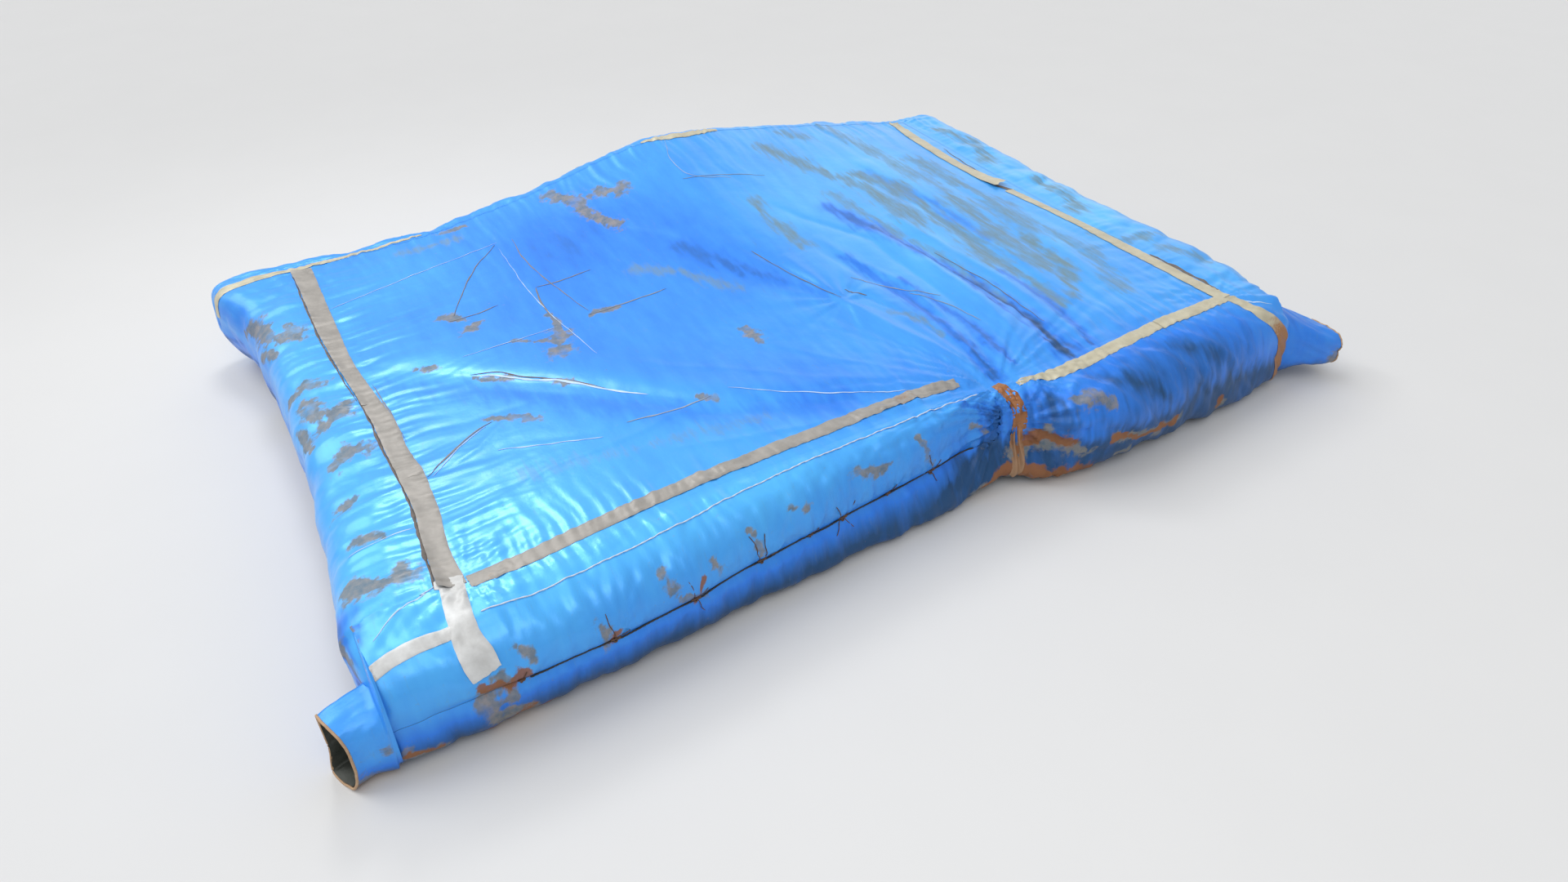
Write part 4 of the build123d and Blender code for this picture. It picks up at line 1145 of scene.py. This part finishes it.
# Ties at each stitch: how far each leans and how far it runs up or, below zero, down the roll.
TIE_RUNS = [
    [(0.010, 0.030)],
    [(-0.012, 0.075), (0.030, 0.016)],
    [(-0.016, 0.060), (0.026, 0.022), (0.012, -0.030)],
    [(-0.030, 0.085), (0.006, 0.075), (0.030, 0.018)],
    [(0.014, 0.024)],
    [(-0.026, 0.050), (0.030, 0.040), (-0.030, -0.026), (0.024, -0.030)],
    [(0.016, 0.028)],
    [(-0.016, 0.060), (0.022, 0.030), (0.010, -0.026)],
]
ties = []
for x, runs in zip(STITCH_X, TIE_RUNS):
    ties.append(knot(x, SEAM_B + 0.001, 0.010 if len(runs) > 1 else 0.006))
    ties += [tie(x + 0.2 * lean, SEAM_B, lean, reach) for lean, reach in runs]
finish_piece(join_parts("seam_ties", ties), TIE, "seam_cord", "seam_stitches")

STRING_ROWS = rolled([
    (-1.205, 0.135), (-1.115, 0.142), (-0.95, 0.128), (-0.775, 0.110),
    (-0.52, 0.078), (-0.28, 0.050), (0.00, 0.050), (0.265, 0.060)
])
strands = cord_on_plan(STRING_ROWS, STRING_RADIUS, 0.0014, lobes=2, twist=900.0, sides=8)
string = make_mesh("pale_fold_string", *strands)
finish_piece(string, STRING, "string", "fold_string")

# ---- ears ----
END_RINGS = 46  # points round the front of a section, and half as many up its back


def ear_section(front, back, low, high, roundness):
    """A D-shaped loop in y and z: round at the front, nearly upright at the back."""
    out, up = side_profile(np.linspace(0, 1, END_RINGS), roundness, math.pi / 2, roundness + 1.6)
    y, z = back - (back - front) * out, low + (high - low) * up
    rise = np.linspace(0, 1, END_RINGS // 2 + 2)[1:-1]
    back_y = back + 0.006 * np.sin(math.pi * rise)
    return np.stack([np.concatenate([y, back_y]), np.concatenate([z, low + (high - low) * rise])], -1)


def ear_rings(sections, count):
    """Rings between x, front, back, low, high, roundness sections."""
    sections = np.array(sections, float)
    at = np.linspace(0, len(sections) - 1, count)
    places = np.arange(len(sections))
    values = [curve(list(zip(places, column)), at) for column in sections.T]
    rings = []
    for x, front, back, low, high, roundness in zip(*values):
        loop = ear_section(front, back, low, high, roundness)
        rings.append(np.column_stack([np.full(len(loop), x), loop]))
    return np.array(rings)


def crumple_rings(rings, height, seed):
    """Small folds along an ear, strongest in its middle."""
    centre = rings.mean(1, keepdims=True)
    spoke = unit((rings - centre) * np.array([0, 1, 1]))
    turn = np.arctan2(spoke[..., 2], spoke[..., 1])
    along = np.cumsum(np.concatenate([[0], np.linalg.norm(np.diff(centre[:, 0], axis=0), axis=1)]))[:, None]
    swell = creased(noise(np.cos(turn) * 2.4 + along * 3, np.sin(turn) * 2.4 + along * 9, seed))
    swell = swell + 0.5 * creased(noise(np.cos(turn) * 6 + 5, np.sin(turn) * 6 + along * 14, seed + 1))
    fade = smooth_step(0, 0.25, np.linspace(0, 1, len(rings)))[:, None]
    points = rings + spoke * (height * swell * fade)[..., None]
    points[..., 2] = np.maximum(points[..., 2], 0.0025)
    return points


def ring_film(name, rings, node):
    """A film sleeve through rings, with the same material as the sheets."""
    piece = make_mesh(name, rings, grid_faces(len(rings), rings.shape[1], closed=True))
    around = np.linspace(0, 0.8, rings.shape[1])[None] + np.zeros((len(rings), 1))
    dirt_and_shade = np.zeros(around.shape)
    for y, z, x, width, strength in EAR_STAINS[node]:
        spot = np.linalg.norm(rings - np.array([x, y, z]), axis=-1)
        dirt_and_shade = np.maximum(dirt_and_shade, strength * bell(spot, width))
    foot = smooth_step(0.030, 0.012, rings[..., 2]) * (rings[..., 0] < 0)
    shaded = 0.62 * smooth_step(0.10, 0.01, rings[..., 2]) + 0.22 * (rings[..., 0] > 0)
    plan = np.stack([rings[..., 0] + 0 * around, around - 2.0, 0 * around], -1)
    store_looks(piece, plan, dirt_and_shade, 0 * around, np.maximum(0.66 - shaded, 0), foot)
    finish_piece(piece, FILM, "sheet", node)


def shut(ring, widest):
    """Rings that close a sleeve's last ring towards its middle."""
    middle = ring.mean(0)
    return middle + (ring - middle) * np.linspace(widest, 0.02, 8)[:, None, None]


def ear_rim(name, ring, radius, node):
    """The bound edge round the end of an ear."""
    edge = np.concatenate([ring, ring[:2]])
    finish_piece(make_mesh(name, *tube(edge, radius, sides=10)), RIM, "tape", node)


# Stains of the ears: y, z, x, half width, strength.
EAR_STAINS = {
    "front_left_ear": [(-1.01, 0.03, -1.56, 0.03, 0.9), (-0.96, 0.004, -1.55, 0.05, 1.0),
                       (-0.99, 0.10, -1.475, 0.016, 0.8)],
    "front_right_ear": [(-1.02, 0.08, 1.66, 0.03, 0.9), (-1.00, 0.05, 1.60, 0.02, 0.7)],
}
left_end = roll_base(np.array(ROLL_LEFT + 0.004), np.array(YF))[2]
LEFT_SECTIONS = [
    (ROLL_LEFT + 0.006, -1.004, -0.800, 0.006, left_end - 0.003, 2.7),
    (ROLL_LEFT - 0.002, -1.002, -0.812, 0.006, left_end - 0.006, 2.8),
    (ROLL_LEFT - 0.006, -1.000, -0.850, 0.006, 0.214, 3.0),
    (ROLL_LEFT - 0.014, -0.997, -0.872, 0.008, 0.198, 3.0),
    (ROLL_LEFT - 0.050, -0.990, -0.884, 0.008, 0.195, 3.0),
    (ROLL_LEFT - 0.085, -0.987, -0.895, 0.005, 0.192, 3.2),
    (ROLL_LEFT - 0.112, -0.990, -0.903, 0.003, 0.190, 3.4),
]
left_rings = crumple_rings(ear_rings(LEFT_SECTIONS, 48), 0.004, 301)
slant = smooth_step(0.4, 1.0, np.linspace(0, 1, len(left_rings)))[:, None]
forward_share = (left_rings[..., 1] + 0.90) / -0.09
low_share = smooth_step(0.08, 0.0, left_rings[..., 2])
left_rings[..., 0] += slant * (0.034 * np.clip(forward_share, 0, 1) ** 1.5 - 0.010 - 0.010 * low_share)
ring_film("left_sleeve", left_rings, "front_left_ear")
ear_rim("left_sleeve_rim", left_rings[-1], 0.0032, "front_left_ear")
# A dark lining inside the left sleeve's mouth: painted shade.
inner = left_rings[:14:-1]
inner_middle = inner.mean(1, keepdims=True)
inset = np.linspace(0.006, 0.014, len(inner))[:, None, None]
shade_lining = inner - unit((inner - inner_middle) * np.array([0, 1, 1])) * inset
shade_lining = np.concatenate([shade_lining, shut(shade_lining[-1], 0.9)])
shade_lining[..., 2] = np.maximum(shade_lining[..., 2], 0.005)
shade_lining_piece = make_mesh("left_sleeve_shade_lining", shade_lining, grid_faces(len(shade_lining), shade_lining.shape[1], closed=True))
finish_piece(shade_lining_piece, SHADE_LINING, "sheet", "front_left_ear")

right_end = roll_base(np.array(ROLL_RIGHT - 0.004), np.array(YF))[2]
RIGHT_SECTIONS = [
    (ROLL_RIGHT - 0.006, -0.956, -0.798, 0.018, right_end - 0.003, 2.6),
    (ROLL_RIGHT + 0.020, -0.968, -0.803, 0.024, 0.262, 2.6),
    (ROLL_RIGHT + 0.080, -0.992, -0.825, 0.040, 0.226, 2.5),
    (ROLL_RIGHT + 0.145, -1.014, -0.862, 0.044, 0.188, 3.2),
    (EAR_RIGHT - 0.002, -1.026, -0.902, 0.048, 0.162, 5.0),
]
right_rings = crumple_rings(ear_rings(RIGHT_SECTIONS, 48), 0.005, 321)
ring_film("right_pocket", np.concatenate([right_rings, shut(right_rings[-1], 0.97)]), "front_right_ear")
ear_rim("right_pocket_rim", right_rings[-1], 0.0030, "front_right_ear")

# ---- foam inside ----
FOAM_NODES = ["foam_base_left", "foam_base_right", "foam_top_left", "foam_top_right", "crown_pad",
              "front_bolster_left", "front_bolster_right"]
FOAM_VOXEL, FOAM_INSET = 0.022, 0.008  # cell of the remesh, and how far a slab then shrinks
FOAM_BELOW, FOAM_BEHIND = 0.022, 0.012  # room kept under the top film, and behind the front one


def foam_piece(node):
    """A foam slab, rounded off from its CAD solid and kept inside the film."""
    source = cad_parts[node]
    piece = in_scene(node + "_foam", source.data.copy())
    remesh = piece.modifiers.new("remesh", "REMESH")
    remesh.mode = "VOXEL"
    remesh.voxel_size = FOAM_VOXEL
    soften = piece.modifiers.new("soften", "SMOOTH")
    soften.factor = 0.5
    soften.iterations = 6
    shaped = bpy.data.meshes.new_from_object(piece.evaluated_get(bpy.context.evaluated_depsgraph_get()))
    piece.modifiers.clear()
    piece.data = shaped
    count = len(shaped.vertices)
    points, normals = np.empty(count * 3, np.float32), np.empty(count * 3, np.float32)
    shaped.vertices.foreach_get("co", points)
    shaped.vertex_normals.foreach_get("vector", normals)
    points = points.reshape(-1, 3) - FOAM_INSET * normals.reshape(-1, 3)
    x, y, z = points.T.astype(float)
    top = HEIGHT + crown(x, np.maximum(y, YF)) - pinch_dip(x, y)
    points[:, 2] = np.minimum(z, top - FOAM_BELOW)
    front = YF - 0.85 * curve(ROLL_DEPTH, x) * np.where(y < YF, 1.0, 9.0)
    points[:, 1] = np.maximum(y, front + FOAM_BEHIND)
    shaped.vertices.foreach_set("co", points.ravel())
    shaped.materials.clear()
    shaped.polygons.foreach_set("use_smooth", [True] * len(shaped.polygons))
    finish_piece(piece, FOAM, "foam", node)


for node in FOAM_NODES:
    foam_piece(node)

# ---- the under-sheet ----
UNDER_ROWS, UNDER_COLUMNS = 150, 100
UNDER_LEFT, UNDER_RIGHT, UNDER_ENDS = 0.07, 0.10, 0.05  # how far it stops short of its node's box
under_low, under_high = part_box("bottom_sheet")
under_x, under_y = np.meshgrid(
    np.linspace(under_low.x + UNDER_LEFT, under_high.x - UNDER_RIGHT, UNDER_ROWS),
    np.linspace(under_low.y + UNDER_ENDS, under_high.y - UNDER_ENDS, UNDER_COLUMNS), indexing="ij")
under_front = YF - 0.40 * curve(ROLL_DEPTH, under_x) + 0.05 * bell(under_x - CINCH_X, 0.2)
squeeze = (YB - under_front) / (YB - under_low.y - UNDER_ENDS)
under_y = YB + (under_y - YB) * np.where(under_y < YB, squeeze, 1.0)
under_z = 0.0022 + 0.0008 * noise(under_x * 9, under_y * 9, 401)
under = np.stack([under_x, under_y, under_z], -1)
under_piece = make_mesh("bottom_film", under, grid_faces(UNDER_ROWS, UNDER_COLUMNS))
store_looks(under_piece, np.stack([under_x, under_y - 5.0, 0 * under_x], -1),
            np.maximum(0, 0.9 * noise(under_x * 3, under_y * 3, 402)),
            np.maximum(0, noise(under_x * 2, under_y * 2, 404)),
            0.5 + 0.3 * noise(under_x * 2, under_y * 2, 403), 0 * under_x)
finish_piece(under_piece, FILM, "sheet", "bottom_sheet")

# ---- floor, lights and camera ----
FLOOR_HALF = 60.0
floor_mesh = bpy.data.meshes.new("floor")
floor_corners = [(x * FLOOR_HALF, y * FLOOR_HALF, 0) for x, y in [(-1, -1), (1, -1), (1, 1), (-1, 1)]]
floor_mesh.from_pydata(floor_corners, [], [(0, 1, 2, 3)])
floor = in_scene("floor", floor_mesh)
floor_shader = Shader("pale_floor")
floor_grain = floor_shader.noise(floor_shader.add("TexCoord").outputs["Object"], 3.0)
floor_colour = floor_shader.mix(floor_grain, (0.66, 0.66, 0.66), (0.68, 0.68, 0.68))
floor.data.materials.append(floor_shader.finished(Base_Color=floor_colour, Roughness=0.9))


def lamp(name, kind, power, towards, **settings):
    """A light that shines from a direction."""
    light = bpy.data.lights.new(name, kind)
    light.energy = power
    for key, value in settings.items():
        setattr(light, key, value)
    piece = in_scene(name, light)
    piece.rotation_euler = towards.to_track_quat("Z", "Y").to_euler()
    return piece


def sun_light(name, azimuth, elevation, strength, angle):
    """A soft distant light; its azimuth is turned from +Y towards +X."""
    az, el = math.radians(azimuth), math.radians(elevation)
    towards = Vector((math.sin(az) * math.cos(el), math.cos(az) * math.cos(el), math.sin(el)))
    lamp(name, "SUN", strength, towards, angle=math.radians(angle))


def soft_box(name, at, aim, power, size):
    """A round studio lamp near the mat, turned to a point on it."""
    piece = lamp(name, "AREA", power, Vector(at) - Vector(aim), shape="DISK", size=size)
    piece.location = at
    piece.visible_camera = False


WORLD_COLOUR, WORLD_STRENGTH = (0.98, 0.99, 1.0, 1), 0.55
world = bpy.data.worlds.new("soft_studio")
world.use_nodes = True
background = world.node_tree.nodes["Background"]
background.inputs["Color"].default_value = WORLD_COLOUR
background.inputs["Strength"].default_value = WORLD_STRENGTH
bpy.context.scene.world = world
sun_light("key_back", -42, 50, 1.25, 44)
sun_light("haze_right", 42, 18, 0.22, 38)
sun_light("top_soft", -60, 74, 0.30, 60)
sun_light("fill_front", 200, 60, 0.42, 40)
soft_box("glow_crossing", (-0.84, 1.53, 2.45), (-1.20, -0.80, 0.30), 18.0, 0.7)
soft_box("fill_left", (-1.20, -2.40, 2.60), (-0.80, -0.90, 0.20), 7.0, 1.2)

SENSOR_MM, LENS_MM = 36.0, 24.44
CAMERA_AT = (-1.487, -2.650, 2.004)
CAMERA_DOWN, CAMERA_RIGHT = 37.02, 31.234  # degrees below the level, and to the right of +Y
camera = bpy.data.cameras.new("camera")
camera.sensor_width = SENSOR_MM
camera.lens = LENS_MM
camera_object = in_scene("camera", camera)
camera_object.location = CAMERA_AT
camera_object.rotation_euler = (math.radians(90 - CAMERA_DOWN), 0, math.radians(-CAMERA_RIGHT))
bpy.context.scene.camera = camera_object
bpy.context.scene.view_settings.view_transform = "Standard"
